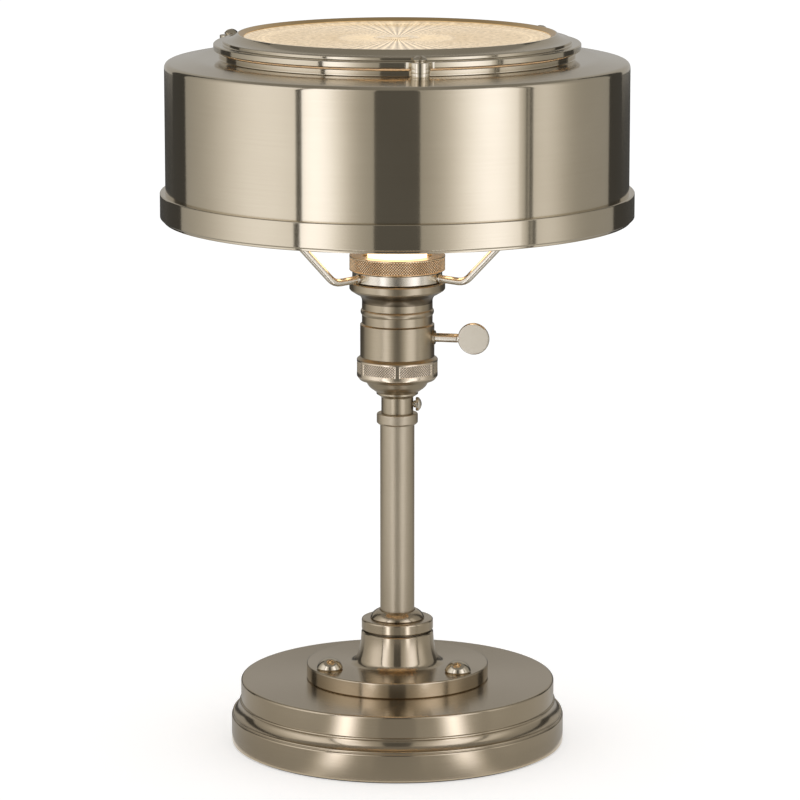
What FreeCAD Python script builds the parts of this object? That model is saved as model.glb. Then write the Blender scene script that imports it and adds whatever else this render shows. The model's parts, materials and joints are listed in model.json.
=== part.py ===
import FreeCAD, Part
import math
import os

# Table lamp with a drum shade under a glass lens, a turn-knob lampholder,
# a plain stem and a stepped round base. Millimetres, +Z up, stem axis on Z,
# underside of the felt at z = 0. The knob points to +X, the viewer is at -Y.

# Driving dimensions of the base
FELT_H = 1.2
PLATE_H = 1.0
BASE_EDGE_Z = 0.6
BASE_R = 74.5
BASE_STEP_Z = 13.0
DISC_R = 70.2
DISC_TOP_Z = 28.9
BASE_WALL = 1.3
WEIGHT_GAP = 0.2
RECESS_R = 15.0
RECESS_H = 8.0

# Driving dimensions of the stem
FLANGE_R = 40.7
FLANGE_TOP_Z = 36.0
HUB_R = 16.1
HUB_TOP_Z = 50.5
COLLAR_Z = 51.3
COLLAR_TOP_Z = 56.2
STEM_R = 7.63
STEM_WALL = 1.4
STEM_TOP_Z = 147.0
PIPE_R = 4.9
PIPE_BORE_R = 3.2
PIPE_LOW_Z = 3.4
PIPE_TOP_Z = 161.0
NECK_Z = 149.7

# Driving dimensions of the lampholder
CAP_R = 17.95
CAP_TOP_Z = 175.4
SHELL_R = 16.45
SHELL_WALL = 0.6
SHELL_STEP = 0.8
SHELL_TOP_Z = 203.2
SEAT_R = 21.2
SEAT_TOP_Z = 209.0
SLEEVE_R = 17.3
SLEEVE_BORE_R = 15.1
SLEEVE_TOP_Z = 219.2
SCREW_SHELL_R = 13.6
SCREW_SHELL_BORE_R = 13.08
CUP_FLOOR_Z = 187.0
FIT = 0.08

# Driving dimensions of the switch and the set screw
KNOB_AZ = -12.0
KNOB_Z = 184.2
KNOB_SHANK_R = 2.0
KNOB_DISC_R = 7.1
KNOB_DISC_X = 34.4
KNOB_DISC_T = 2.4
SHAFT_R = 1.3
SHELL_HOLE_R = 3.1
SET_SCREW_Z = 153.6
SET_SCREW_R = 1.25
SET_HEAD_R = 3.1

# Driving dimensions of the shade and its spider
SHADE_R = 101.9
SHADE_WALL = 1.2
SHADE_LOW_Z = 236.8
BAND_R = 104.3
BAND_LOW_Z = 237.9
BAND_TOP_Z = 249.3
SHADE_TOP_Z = 308.0
SHOULDER_Z = 303.7
NECK_R = 77.9
NECK_TOP_Z = 310.7
SPIDER_RING_R = 19.9
SPIDER_LOW_Z = 209.2
SPIDER_TOP_Z = 213.8
ARM_R = 1.7
ARM_Z = 211.5
ARM_NUB_R = 2.0
ARM_BEND_X = 33.0
ARM_BEND_Z = 210.6
ARM_BEND_R = 7.0
ARM_SLOPE = 46.0
ARM_AZ = (93.5, 213.5, 333.5)
TAB_T = 1.4
TAB_W = 12.0
TAB_H = 17.0
KNURL_LOW_Z = 214.1
KNURL_TOP_Z = 220.7
KNURL_R = 21.2

# Driving dimensions of the lens ring
RING_LOW_Z = 311.6
RING_R = 80.4
RING_LIP_R = 78.2
RING_STEP_R = 76.3
RING_TOP_Z = 318.6
GLASS_R = 68.4
GLASS_LOW_Z = 313.0
GLASS_TOP_Z = 317.0
POST_PITCH_R = 81.0
POST_R = 4.5
POST_FILLET = 2.0
POST_LOW_Z = 310.0
POST_TOP_Z = 314.5
POST_AZ = (36.8, 156.8, 276.8)
SCREW_PITCH_R = 80.2
SCREW_HOLE_R = 1.5
SCREW_HEAD_R = 3.15

# Driving dimensions of the bulb
BULB_TIP_Z = 189.9
BULB_BASE_R = 13.0
BULB_NECK_Z = 213.0
BULB_R = 27.0
BULB_CENTRE_Z = 262.0
BULB_WALL = 0.7

# Driving dimensions of the fasteners and the cord inlet
FLANGE_SCREW_AZ = (84.5, 204.5, 324.5)
FLANGE_SCREW_PITCH_R = 33.1
DOME_R = 5.85
DOME_H = 5.0
DOME_EDGE = 0.6
INLET_Z = 7.0
INLET_BORE_R = 3.1
INLET_R = 4.0
INLET_FLANGE_R = 5.2
INLET_OUT_Y = 76.0
INLET_IN_Y = 69.4

UP = FreeCAD.Vector(0, 0, 1)
ORIGIN = FreeCAD.Vector(0, 0, 0)


def at(radius, height):
    """A point of a lathe profile, in the XZ plane."""
    return FreeCAD.Vector(radius, 0, height)


def turned(*moves):
    """Solid of revolution about Z. A move (r, z) is a straight line to that
    point, and a move (r1, z1, r2, z2) is an arc through the first point to
    the second."""
    here = at(*moves[0])
    first = here
    edges = []
    for move in moves[1:]:
        end = at(*move[-2:])
        if len(move) == 4:
            edges.append(Part.Arc(here, at(*move[:2]), end).toShape())
        else:
            edges.append(Part.makeLine(here, end))
        here = end
    if here.distanceToPoint(first) > 1e-6:
        edges.append(Part.makeLine(here, first))
    return Part.Face(Part.Wire(edges)).revolve(ORIGIN, UP, 360)


def cap_middle(radius, low, height):
    """Point halfway along the arc of a round cap that ends on the axis."""
    sphere = (radius * radius + height * height) / (2 * height)
    half = math.asin(radius / sphere) / 2
    return sphere * math.sin(half), low + height - sphere * (1 - math.cos(half))


def rod(radius, low, high):
    """Solid cylinder on the lamp axis between two heights."""
    return Part.makeCylinder(radius, high - low, FreeCAD.Vector(0, 0, low))


def tube(outer, inner, low, high):
    """Hollow cylinder on the lamp axis between two heights."""
    return rod(outer, low, high).cut(rod(inner, low - 1, high + 1))


def spun(shape, degrees):
    """Copy of a shape turned about the lamp axis."""
    copy = shape.copy()
    copy.rotate(ORIGIN, UP, degrees)
    return copy


def moved(shape, x, y, z):
    """Copy of a shape moved by a vector."""
    copy = shape.copy()
    copy.translate(FreeCAD.Vector(x, y, z))
    return copy


def around(shape, azimuths):
    """The shape repeated at each azimuth, as separate solids."""
    return Part.makeCompound([spun(shape, azimuth) for azimuth in azimuths])


def bar_x(radius, start, end, height):
    """Solid cylinder along +X at a height above the lamp axis."""
    base = FreeCAD.Vector(start, 0, height)
    return Part.makeCylinder(radius, end - start, base, FreeCAD.Vector(1, 0, 0))


def drilled(shape, radius, pitch_r, azimuths, low, high):
    """Shape with upright holes on a circle."""
    hole = moved(rod(radius, low, high), pitch_r, 0, 0)
    for azimuth in azimuths:
        shape = shape.cut(spun(hole, azimuth))
    return shape


def hexagon(across, low, high):
    """Six-sided prism on the lamp axis."""
    corner = across / math.sqrt(3)
    points = []
    for step in range(7):
        angle = math.radians(60 * step)
        points.append(FreeCAD.Vector(corner * math.cos(angle), corner * math.sin(angle), low))
    return Part.Face(Part.makePolygon(points)).extrude(FreeCAD.Vector(0, 0, high - low))


def switch_bore():
    """Clearance for the switch shaft, along the knob's direction."""
    return spun(bar_x(KNOB_SHANK_R + 0.1, 2.0, 30.0, KNOB_Z), KNOB_AZ)


def shell_hole():
    """Round hole in the lampholder's side for the switch bushing."""
    return spun(bar_x(SHELL_HOLE_R, 8.0, 30.0, KNOB_Z), KNOB_AZ)


def inlet_bar(radius, start, end):
    """Cylinder along +Y at the height of the cord inlet."""
    return spun(bar_x(radius, start, end, INLET_Z), 90)


def felt_pad():
    """Felt disc that the lamp stands on."""
    return rod(BASE_R - BASE_WALL - WEIGHT_GAP, 0, FELT_H)


def bottom_plate():
    """Sheet plate that closes the base, with an access hole for the nut."""
    return tube(BASE_R - BASE_WALL - WEIGHT_GAP, RECESS_R, FELT_H, FELT_H + PLATE_H)


def base_cover():
    """Spun base shell: tall lower ring, two beads, hollow step, upper disc."""
    wall = BASE_WALL
    step = BASE_STEP_Z
    shell = turned(
        (PIPE_R + 0.1, DISC_TOP_Z), (DISC_R - 1.0, DISC_TOP_Z),
        (DISC_R - 0.3, DISC_TOP_Z - 0.3, DISC_R, DISC_TOP_Z - 1.0),
        (DISC_R, step + 6.4), (DISC_R + 0.7, step + 5.8, DISC_R + 0.2, step + 5.1),
        (DISC_R + 1.1, step + 2.5, BASE_R - 1.3, step + 1.1),
        (BASE_R - 0.5, step + 0.75, BASE_R - 0.8, step + 0.1),
        (BASE_R - 0.2, step - 0.2, BASE_R, step - 0.9),
        (BASE_R, BASE_EDGE_Z + 0.6), (BASE_R - 0.2, BASE_EDGE_Z + 0.15, BASE_R - 0.6, BASE_EDGE_Z),
        (BASE_R - wall, BASE_EDGE_Z), (BASE_R - wall, step - 1.4),
        (DISC_R - wall, step + 4.0), (DISC_R - wall, DISC_TOP_Z - wall),
        (PIPE_R + 0.1, DISC_TOP_Z - wall))
    shell = drilled(shell, 2.6, FLANGE_SCREW_PITCH_R, FLANGE_SCREW_AZ, 20, 40)
    return shell.cut(inlet_bar(INLET_R, 60, 90))


def base_weight():
    """Cast iron ballast that fills the base, recessed below for the nut."""
    outer = BASE_R - BASE_WALL - WEIGHT_GAP
    low = FELT_H + PLATE_H
    upper = DISC_R - BASE_WALL - WEIGHT_GAP
    casting = turned(
        (PIPE_R + 0.1, low), (outer, low), (outer, BASE_STEP_Z - 2.0),
        (upper, BASE_STEP_Z + 3.2), (upper, DISC_TOP_Z - BASE_WALL),
        (PIPE_R + 0.1, DISC_TOP_Z - BASE_WALL))
    casting = casting.cut(rod(RECESS_R, low - 1, low + RECESS_H))
    channel = Part.makeBox(12.0, 70.0, 9.6, FreeCAD.Vector(-6.0, 10.0, low - 0.1))
    casting = casting.cut(channel)
    return drilled(casting, 2.5, FLANGE_SCREW_PITCH_R, FLANGE_SCREW_AZ, 16, 40)


def cord_bushing():
    """Insulating bushing in the back of the base, where the cord goes in."""
    barrel = inlet_bar(INLET_R, INLET_IN_Y, INLET_OUT_Y)
    flange = inlet_bar(INLET_FLANGE_R, BASE_R - 2.0, INLET_OUT_Y)
    flange = flange.cut(rod(BASE_R, 0, 20))
    body = barrel.fuse(flange).removeSplitter()
    return body.cut(inlet_bar(INLET_BORE_R, 60, 90))


def lamp_pipe():
    """Threaded pipe that ties base, stem and lampholder together."""
    return tube(PIPE_R, PIPE_BORE_R, PIPE_LOW_Z, PIPE_TOP_Z)


def pipe_washer():
    """Plain washer under the ballast."""
    top = FELT_H + PLATE_H + RECESS_H
    return tube(11.0, PIPE_R + 0.1, top - 1.2, top)


def pipe_nut():
    """Hexagon nut on the pipe's lower end."""
    top = FELT_H + PLATE_H + RECESS_H - 1.2
    return hexagon(15.0, top - 4.5, top).cut(rod(PIPE_R, 0, 20))


def stem_flange():
    """Round flange with a hub that flares into it."""
    top = FLANGE_TOP_Z
    casting = turned(
        (PIPE_R + 0.1, DISC_TOP_Z), (FLANGE_R - 0.5, DISC_TOP_Z),
        (FLANGE_R, DISC_TOP_Z + 0.5), (FLANGE_R, top - 0.7),
        (FLANGE_R - 0.2, top - 0.2, FLANGE_R - 0.7, top), (HUB_R + 5.6, top),
        (HUB_R + 3.6, top + 0.55, HUB_R + 2.1, top + 2.4),
        (HUB_R + 0.6, top + 7.8, HUB_R, HUB_TOP_Z - 0.5),
        (HUB_R - 0.5, HUB_TOP_Z), (HUB_R - 1.4, HUB_TOP_Z),
        (HUB_R - 1.4, COLLAR_Z), (PIPE_R + 0.1, COLLAR_Z))
    return drilled(casting, 2.6, FLANGE_SCREW_PITCH_R, FLANGE_SCREW_AZ, 20, 40)


def flange_screws():
    """Three dome-head screws that hold the flange to the base."""
    low = FLANGE_TOP_Z
    head = turned(
        (0, low), (DOME_R - 0.3, low), (DOME_R, low + DOME_EDGE),
        (*cap_middle(DOME_R, low + DOME_EDGE, DOME_H - DOME_EDGE), 0, low + DOME_H))
    screw = head.fuse(rod(2.5, 17.0, FLANGE_TOP_Z)).removeSplitter()
    return around(moved(screw, FLANGE_SCREW_PITCH_R, 0, 0), FLANGE_SCREW_AZ)


def hub_collar():
    """Plain ring on top of the hub, above a narrow groove."""
    return turned(
        (STEM_R, COLLAR_Z), (HUB_R - 0.5, COLLAR_Z), (HUB_R - 0.1, COLLAR_Z + 0.4),
        (HUB_R - 0.1, COLLAR_TOP_Z - 0.8),
        (HUB_R - 0.35, COLLAR_TOP_Z - 0.25, HUB_R - 0.9, COLLAR_TOP_Z),
        (STEM_R, COLLAR_TOP_Z))


def dome_collar():
    """Domed ring round the foot of the stem."""
    low = COLLAR_TOP_Z
    return turned(
        (STEM_R, low), (11.8, low), (12.1, low + 0.3), (12.0, low + 0.7),
        (10.9, low + 2.3, 8.7, low + 3.7), (STEM_R + 0.45, low + 3.8), (STEM_R, low + 3.3))


def stem_tube():
    """Plain round tube over the pipe."""
    return tube(STEM_R, STEM_R - STEM_WALL, COLLAR_Z, STEM_TOP_Z)


def stem_top_collar():
    """Ring that caps the stem tube and carries the lampholder."""
    outer = 9.15
    low = 144.8
    return turned(
        (STEM_R, low), (outer - 0.7, low), (outer, low + 0.7), (outer, NECK_Z - 0.7),
        (outer - 0.2, NECK_Z - 0.2, outer - 0.7, NECK_Z), (PIPE_R, NECK_Z),
        (PIPE_R, STEM_TOP_Z), (STEM_R, STEM_TOP_Z))


def socket_cap():
    """Lampholder cap: neck, small bead, bowl, ledge and a wide knurled band."""
    cap = turned(
        (PIPE_R, NECK_Z), (7.1, NECK_Z), (7.1, 156.7), (8.2, 157.7), (9.0, 158.2),
        (9.3, 158.7, 9.1, 159.3), (12.3, 161.9, 14.0, 164.5), (15.6, 164.8),
        (17.3, 165.7, CAP_R, 167.3), (CAP_R, 173.7), (17.1, 174.9), (SHELL_R + 0.1, CAP_TOP_Z),
        (SHELL_R - 0.9, CAP_TOP_Z), (SHELL_R - 0.9, 167.0), (13.2, 166.0),
        (10.5, 162.6, 8.3, 161.0), (PIPE_R, 161.0))
    return cap.cut(bar_x(SET_SCREW_R, 0, 20, SET_SCREW_Z))


def set_screw():
    """Round-headed thumb screw that locks the lampholder to the pipe."""
    face = 8.15
    shank = bar_x(SET_SCREW_R - 0.05, PIPE_R + 0.1, face, SET_SCREW_Z)
    neck = bar_x(SET_SCREW_R + 0.35, 7.25, face, SET_SCREW_Z)
    profile = turned(
        (0, 0), (SET_HEAD_R - 0.3, 0), (SET_HEAD_R, 0.3), (SET_HEAD_R, 1.2),
        (*cap_middle(SET_HEAD_R, 1.2, 1.5), 0, 2.7))
    profile.rotate(ORIGIN, FreeCAD.Vector(0, 1, 0), 90)
    head = moved(profile, face, 0, SET_SCREW_Z)
    return shank.fuse(neck).fuse(head).removeSplitter()


def socket_shell():
    """Lampholder shell: plain lower part, step, bead and flared mouth."""
    low = CAP_TOP_Z
    wall = SHELL_WALL
    upper = SHELL_R - SHELL_STEP
    shell = turned(
        (SHELL_R, low), (SHELL_R, 189.7), (upper, 190.3), (upper, 194.0),
        (upper + 0.6, 195.4, upper, 196.8), (upper, 199.7),
        (upper + 0.4, 201.8, upper + 1.8, SHELL_TOP_Z),
        (upper - wall, SHELL_TOP_Z), (upper - wall, low))
    return shell.cut(shell_hole())


def shade_seat():
    """Wide seat ring with a threaded sleeve that the shade sits over."""
    low = SHELL_TOP_Z
    return turned(
        (SLEEVE_BORE_R, low), (17.6, low), (18.4, 203.6), (SEAT_R - 0.5, 205.0),
        (SEAT_R, 205.7), (SEAT_R, SEAT_TOP_Z - 0.5), (SEAT_R - 0.4, SEAT_TOP_Z),
        (SLEEVE_R, SEAT_TOP_Z), (SLEEVE_R, SLEEVE_TOP_Z), (SLEEVE_BORE_R, SLEEVE_TOP_Z))


def insulating_liner():
    """Fibre tube between the metal shell and the lampholder body."""
    outer = SHELL_R - SHELL_STEP - SHELL_WALL - 0.05
    return tube(outer, outer - 0.4, CAP_TOP_Z + 0.2, SHELL_TOP_Z - 0.2).cut(shell_hole())


def socket_body():
    """Moulded insulating body with a cup for the screw shell."""
    outer = 14.6
    body = tube(outer, SCREW_SHELL_R, CUP_FLOOR_Z, 206.0).fuse(rod(outer, 168.6, CUP_FLOOR_Z))
    body = body.removeSplitter().cut(switch_bore())
    body = drilled(body, 1.2, 8.0, (60, 240), 160, 175)
    return body.cut(rod(1.5, CUP_FLOOR_Z - 1.2, CUP_FLOOR_Z + 1))


def centre_contact():
    """Sprung brass contact in the floor of the lampholder."""
    low = CUP_FLOOR_Z
    return rod(1.5, low - 1.2, low).fuse(rod(4.0, low, low + 2.6)).removeSplitter()


def screw_shell():
    """Brass shell that the bulb screws into."""
    return tube(SCREW_SHELL_R, SCREW_SHELL_BORE_R, CUP_FLOOR_Z, 214.0)


def terminal_screws():
    """Two binding screws under the lampholder body."""
    screw = rod(2.6, 166.6, 168.6).fuse(rod(1.2, 168.6, 175.0)).removeSplitter()
    return around(moved(screw, 8.0, 0, 0), (60, 240))


def lead_wires():
    """Two insulated leads inside the pipe, up to the terminals."""
    wire = moved(rod(1.1, 9.0, 164.5), 1.5, 0, 0)
    return around(wire, (60, 240))


def switch_bushing():
    """Small collar that guides the knob's shank through the shell."""
    sleeve = bar_x(SHELL_HOLE_R, 14.9, 17.1, KNOB_Z)
    return spun(sleeve.cut(bar_x(KNOB_SHANK_R + FIT, 10, 20, KNOB_Z)), KNOB_AZ)


def switch_knob():
    """Round flat paddle on a shank."""
    shank = bar_x(KNOB_SHANK_R, 13.0, 28.2, KNOB_Z)
    profile = turned(
        (0, -KNOB_DISC_T / 2), (KNOB_DISC_R - 0.5, -KNOB_DISC_T / 2),
        (KNOB_DISC_R, 0, KNOB_DISC_R - 0.5, KNOB_DISC_T / 2), (0, KNOB_DISC_T / 2))
    profile.rotate(ORIGIN, FreeCAD.Vector(1, 0, 0), 90)
    knob = shank.fuse(moved(profile, KNOB_DISC_X, 0, KNOB_Z)).removeSplitter()
    knob = knob.cut(bar_x(SHAFT_R, 5, 20, KNOB_Z))
    return spun(knob, KNOB_AZ)


def switch_shaft():
    """Steel spindle between the knob and the switch inside the body."""
    return spun(bar_x(SHAFT_R, 3.2, 20.0, KNOB_Z), KNOB_AZ)


def knurled_ring():
    """Threaded ring that clamps the shade's spider on its seat."""
    return turned(
        (SLEEVE_R + FIT, KNURL_LOW_Z), (KNURL_R - 0.3, KNURL_LOW_Z), (KNURL_R, KNURL_LOW_Z + 0.3),
        (KNURL_R, KNURL_TOP_Z - 0.4), (KNURL_R - 0.4, KNURL_TOP_Z), (SLEEVE_BORE_R + 0.6, KNURL_TOP_Z),
        (SLEEVE_BORE_R + 0.2, KNURL_TOP_Z - 0.5), (SLEEVE_BORE_R + 0.2, SLEEVE_TOP_Z + 0.2),
        (SLEEVE_R + FIT, SLEEVE_TOP_Z + 0.2))


def spider_ring():
    """Plain ring that carries the three shade arms."""
    return turned(
        (SLEEVE_R + FIT, SPIDER_LOW_Z), (SPIDER_RING_R - 0.5, SPIDER_LOW_Z),
        (SPIDER_RING_R, SPIDER_LOW_Z + 0.5), (SPIDER_RING_R, SPIDER_TOP_Z - 0.5),
        (SPIDER_RING_R - 0.5, SPIDER_TOP_Z), (SLEEVE_R + FIT, SPIDER_TOP_Z))


def arm_path():
    """Centre line of an arm: a little down to its bend, then up to the shade's wall."""
    slope = math.radians(ARM_SLOPE)
    start = at(SPIDER_RING_R - 1.0, ARM_Z)
    corner = at(ARM_BEND_X, ARM_BEND_Z)
    inward = (start - corner).normalize()
    upward = FreeCAD.Vector(math.cos(slope), 0, math.sin(slope))
    half = inward.getAngle(upward) / 2
    leave = corner + inward * (ARM_BEND_R / math.tan(half))
    join = corner + upward * (ARM_BEND_R / math.tan(half))
    bisector = (inward + upward).normalize()
    middle = corner + bisector * (ARM_BEND_R / math.sin(half) - ARM_BEND_R)
    end = join + upward * ((SHADE_R - join.x) / math.cos(slope))
    edges = [Part.makeLine(start, leave), Part.Arc(leave, middle, join).toShape(),
             Part.makeLine(join, end)]
    return Part.Wire(edges)


def spider_arm(azimuth):
    """Bent round rod from the spider ring to a tab on the shade's wall."""
    path = arm_path()
    start = at(SPIDER_RING_R - 1.0, ARM_Z)
    circle = Part.Wire(Part.makeCircle(ARM_R, start, at(ARM_BEND_X, ARM_BEND_Z) - start))
    arm = path.makePipeShell([circle], True, False)
    arm = arm.fuse(bar_x(ARM_NUB_R, SPIDER_RING_R - 1.0, SPIDER_RING_R + 1.5, ARM_Z)).removeSplitter()
    arm = arm.cut(rod(SPIDER_RING_R, ARM_Z - 5, ARM_Z + 5))
    inner = SHADE_R - SHADE_WALL - TAB_T
    arm = arm.cut(tube(SHADE_R + 20, inner, ARM_Z, SHADE_TOP_Z))
    return spun(arm, azimuth)


def arm_tabs():
    """Three curved tabs that join the arms to the inside of the shade."""
    slope = math.radians(ARM_SLOPE)
    inner = SHADE_R - SHADE_WALL - TAB_T
    centre_z = ARM_BEND_Z + (inner - ARM_BEND_X) * math.tan(slope)
    low = centre_z - TAB_H / 2
    band = tube(SHADE_R - SHADE_WALL, inner, low, low + TAB_H)
    block = Part.makeBox(20, TAB_W, TAB_H, FreeCAD.Vector(inner - 10, -TAB_W / 2, low))
    return around(band.common(block), ARM_AZ)


def shade_drum():
    """Upright wall of the shade, with a small lip at its lower edge."""
    inner = SHADE_R - SHADE_WALL
    return turned(
        (inner, SHADE_LOW_Z), (SHADE_R + 1.0, SHADE_LOW_Z), (SHADE_R + 1.0, BAND_LOW_Z),
        (SHADE_R, BAND_LOW_Z), (SHADE_R, SHOULDER_Z), (inner, SHOULDER_Z))


def shade_top():
    """Top of the shade: soft shoulder, shallow slope and open neck."""
    wall = SHADE_WALL
    top = SHADE_TOP_Z
    plate = turned(
        (SHADE_R - wall, SHOULDER_Z), (SHADE_R, SHOULDER_Z), (SHADE_R, top - 4.1),
        (SHADE_R - 0.8, top - 2.3, SHADE_R - 2.6, top - 1.6), (88.0, top), (NECK_R + 0.6, top),
        (NECK_R + 0.2, top + 0.2, NECK_R, top + 0.6), (NECK_R, NECK_TOP_Z - 0.3),
        (NECK_R - 0.5, NECK_TOP_Z, NECK_R - 1.0, NECK_TOP_Z - 0.3), (NECK_R - 1.0, top - wall),
        (88.0, top - wall), (SHADE_R - 2.9, top - 1.6 - wall),
        (SHADE_R - wall - 0.4, top - 3.4, SHADE_R - wall, SHOULDER_Z))
    return drilled(plate, SCREW_HOLE_R, SCREW_PITCH_R, POST_AZ, 300, 320)


def shade_band():
    """Ring round the shade's lower edge."""
    return turned(
        (SHADE_R, BAND_LOW_Z), (BAND_R - 0.6, BAND_LOW_Z), (BAND_R, BAND_LOW_Z + 0.6),
        (BAND_R, BAND_TOP_Z - 0.8), (BAND_R - 0.2, BAND_TOP_Z - 0.2, BAND_R - 0.8, BAND_TOP_Z),
        (SHADE_R, BAND_TOP_Z))


def post_fillets():
    """Plate that joins a lug to the ring's edge with a round at each side. The
    round touches the ring's circle and the lug's circle from outside both."""
    to_ring = RING_R + POST_FILLET
    to_post = POST_R + POST_FILLET
    centre_x = (to_ring**2 - to_post**2 + POST_PITCH_R**2) / (2 * POST_PITCH_R)
    centre = FreeCAD.Vector(centre_x, math.sqrt(to_ring**2 - centre_x**2), 0)
    post = at(POST_PITCH_R, 0)
    on_ring = centre * (RING_R / to_ring)
    on_post = post + (centre - post) * (POST_R / to_post)
    middle = centre + ((on_ring + on_post) / 2 - centre).normalize() * POST_FILLET
    inner = FreeCAD.Vector(RING_LIP_R + 0.4, on_ring.y, 0)
    edges = [Part.Arc(on_ring, middle, on_post).toShape(), Part.makeLine(on_post, at(on_post.x, 0)),
             Part.makeLine(at(on_post.x, 0), at(inner.x, 0)), Part.makeLine(at(inner.x, 0), inner),
             Part.makeLine(inner, on_ring)]
    half = Part.Face(Part.Wire(edges)).extrude(at(0, POST_TOP_Z - RING_LOW_Z))
    half = moved(half, 0, 0, RING_LOW_Z)
    return half.fuse(half.mirror(ORIGIN, FreeCAD.Vector(0, 1, 0)))


def post_lug():
    """Lug of the lens ring that a post screw goes through."""
    lug = moved(rod(POST_R, POST_LOW_Z, POST_TOP_Z), POST_PITCH_R, 0, 0)
    return lug.cut(rod(RING_LIP_R, POST_LOW_Z - 1, RING_LOW_Z + 1.5)).fuse(post_fillets())


def lens_ring():
    """Stepped bezel with three lugs: flange, step, hollow curve and rim."""
    low = RING_LOW_Z
    top = RING_TOP_Z
    step = RING_STEP_R
    ring = turned(
        (GLASS_R + 0.1, low), (GLASS_R + 2.0, low), (GLASS_R + 2.0, low + 1.4),
        (RING_LIP_R, low + 1.4), (RING_LIP_R, low), (RING_R - 0.4, low),
        (RING_R, low + 0.4), (RING_R, low + 2.5), (RING_R - 0.4, low + 2.9),
        (step + 0.7, low + 2.9), (step + 0.2, low + 3.0, step, low + 3.4),
        (step, low + 3.9), (step - 0.1, low + 4.25, step - 0.4, low + 4.4),
        (72.3, low + 5.25, 70.2, top - 0.3), (69.9, top), (69.3, top),
        (67.0, top - 1.2), (67.0, GLASS_TOP_Z + 0.1), (GLASS_R + 0.1, GLASS_TOP_Z + 0.1))
    for azimuth in POST_AZ:
        ring = ring.fuse(spun(post_lug(), azimuth))
    ring = ring.removeSplitter()
    return drilled(ring, SCREW_HOLE_R, SCREW_PITCH_R, POST_AZ, 300, 320)


def lens_glass():
    """Round pressed glass with a raised rim and a centre button."""
    top = GLASS_TOP_Z
    return turned(
        (0, GLASS_LOW_Z), (GLASS_R - 0.4, GLASS_LOW_Z), (GLASS_R, GLASS_LOW_Z + 0.4),
        (GLASS_R, top), (66.4, top), (65.2, top - 0.5), (9.6, top - 0.5), (9.2, top - 0.2),
        (5.9, top - 0.2), (5.4, top + 0.1), (0, top + 0.1))


def lens_retainer():
    """Sprung ring that holds the glass up in its bezel."""
    return tube(GLASS_R, GLASS_R - 2.4, GLASS_LOW_Z - 1.2, GLASS_LOW_Z)


def ring_spacers():
    """Three round spacers between the shade and the lens ring."""
    spacer = moved(rod(POST_R - 0.2, SHADE_TOP_Z, POST_LOW_Z), POST_PITCH_R, 0, 0)
    spacer = drilled(spacer.cut(rod(NECK_R + 0.6, 300, 320)), SCREW_HOLE_R, SCREW_PITCH_R, (0,), 300, 320)
    return around(spacer, POST_AZ)


def ring_screws():
    """Three round-head slotted screws through the lugs."""
    low = POST_TOP_Z
    head_r = SCREW_HEAD_R
    slot_w = 1.2
    head = turned(
        (0, low), (head_r - 0.5, low), (head_r - 0.5, low + 0.4), (head_r - 0.2, low + 0.45),
        (head_r, low + 0.9), (*cap_middle(head_r, low + 0.9, 1.8), 0, low + 2.7))
    slot = Part.makeBox(8, slot_w, 2, FreeCAD.Vector(-4, -slot_w / 2, low + 1.3))
    screw = head.cut(slot).fuse(rod(SCREW_HOLE_R - 0.1, 303.6, low)).removeSplitter()
    return around(moved(screw, SCREW_PITCH_R, 0, 0), POST_AZ)


def ring_nuts():
    """Three hexagon nuts under the top of the shade."""
    high = SHADE_TOP_Z - SHADE_WALL
    nut = hexagon(5.5, high - 2.2, high).cut(rod(SCREW_HOLE_R - 0.1, 300, 310))
    return around(moved(nut, SCREW_PITCH_R, 0, 0), POST_AZ)


def bulb_base():
    """Metal screw base of the bulb, with its contact tip."""
    tip = BULB_TIP_Z
    return turned(
        (0, tip), (3.2, tip), (4.2, tip + 1.0), (11.4, tip + 3.2), (BULB_BASE_R, tip + 4.6),
        (BULB_BASE_R, BULB_NECK_Z - 0.3), (BULB_BASE_R - 0.3, BULB_NECK_Z), (0, BULB_NECK_Z))


def bulb_glass():
    """Pear-shaped glass envelope."""
    middle = math.radians(33.4)
    low = math.radians(-23.2)
    inner = BULB_R - BULB_WALL
    return turned(
        (12.0, BULB_NECK_Z), (12.8, BULB_NECK_Z), (13.2, 222.0),
        (17.6, 238.2, BULB_R * math.cos(low), BULB_CENTRE_Z + BULB_R * math.sin(low)),
        (BULB_R * math.cos(middle), BULB_CENTRE_Z + BULB_R * math.sin(middle),
         0, BULB_CENTRE_Z + BULB_R),
        (0, BULB_CENTRE_Z + inner),
        (inner * math.cos(middle), BULB_CENTRE_Z + inner * math.sin(middle),
         inner * math.cos(low), BULB_CENTRE_Z + inner * math.sin(low)),
        (17.0, 238.6, 12.5, 222.1))


def bulb_stem():
    """Glass stem and support wires inside the bulb."""
    stem = turned((0, BULB_NECK_Z), (7.0, BULB_NECK_Z), (3.6, 221.0), (2.4, 240.0), (0, 240.0))
    wire = moved(rod(0.5, 236.0, 258.0), 2.0, 0, 0)
    return stem.fuse(wire).fuse(spun(wire, 180)).removeSplitter()


def bulb_filament():
    """Glowing coil between the support wires."""
    coil = Part.makeTorus(7.0, 0.7, FreeCAD.Vector(0, 0, 258.7))
    bridge = bar_x(0.7, -7.0, 7.0, 258.7)
    return coil.fuse(bridge).removeSplitter()


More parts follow.
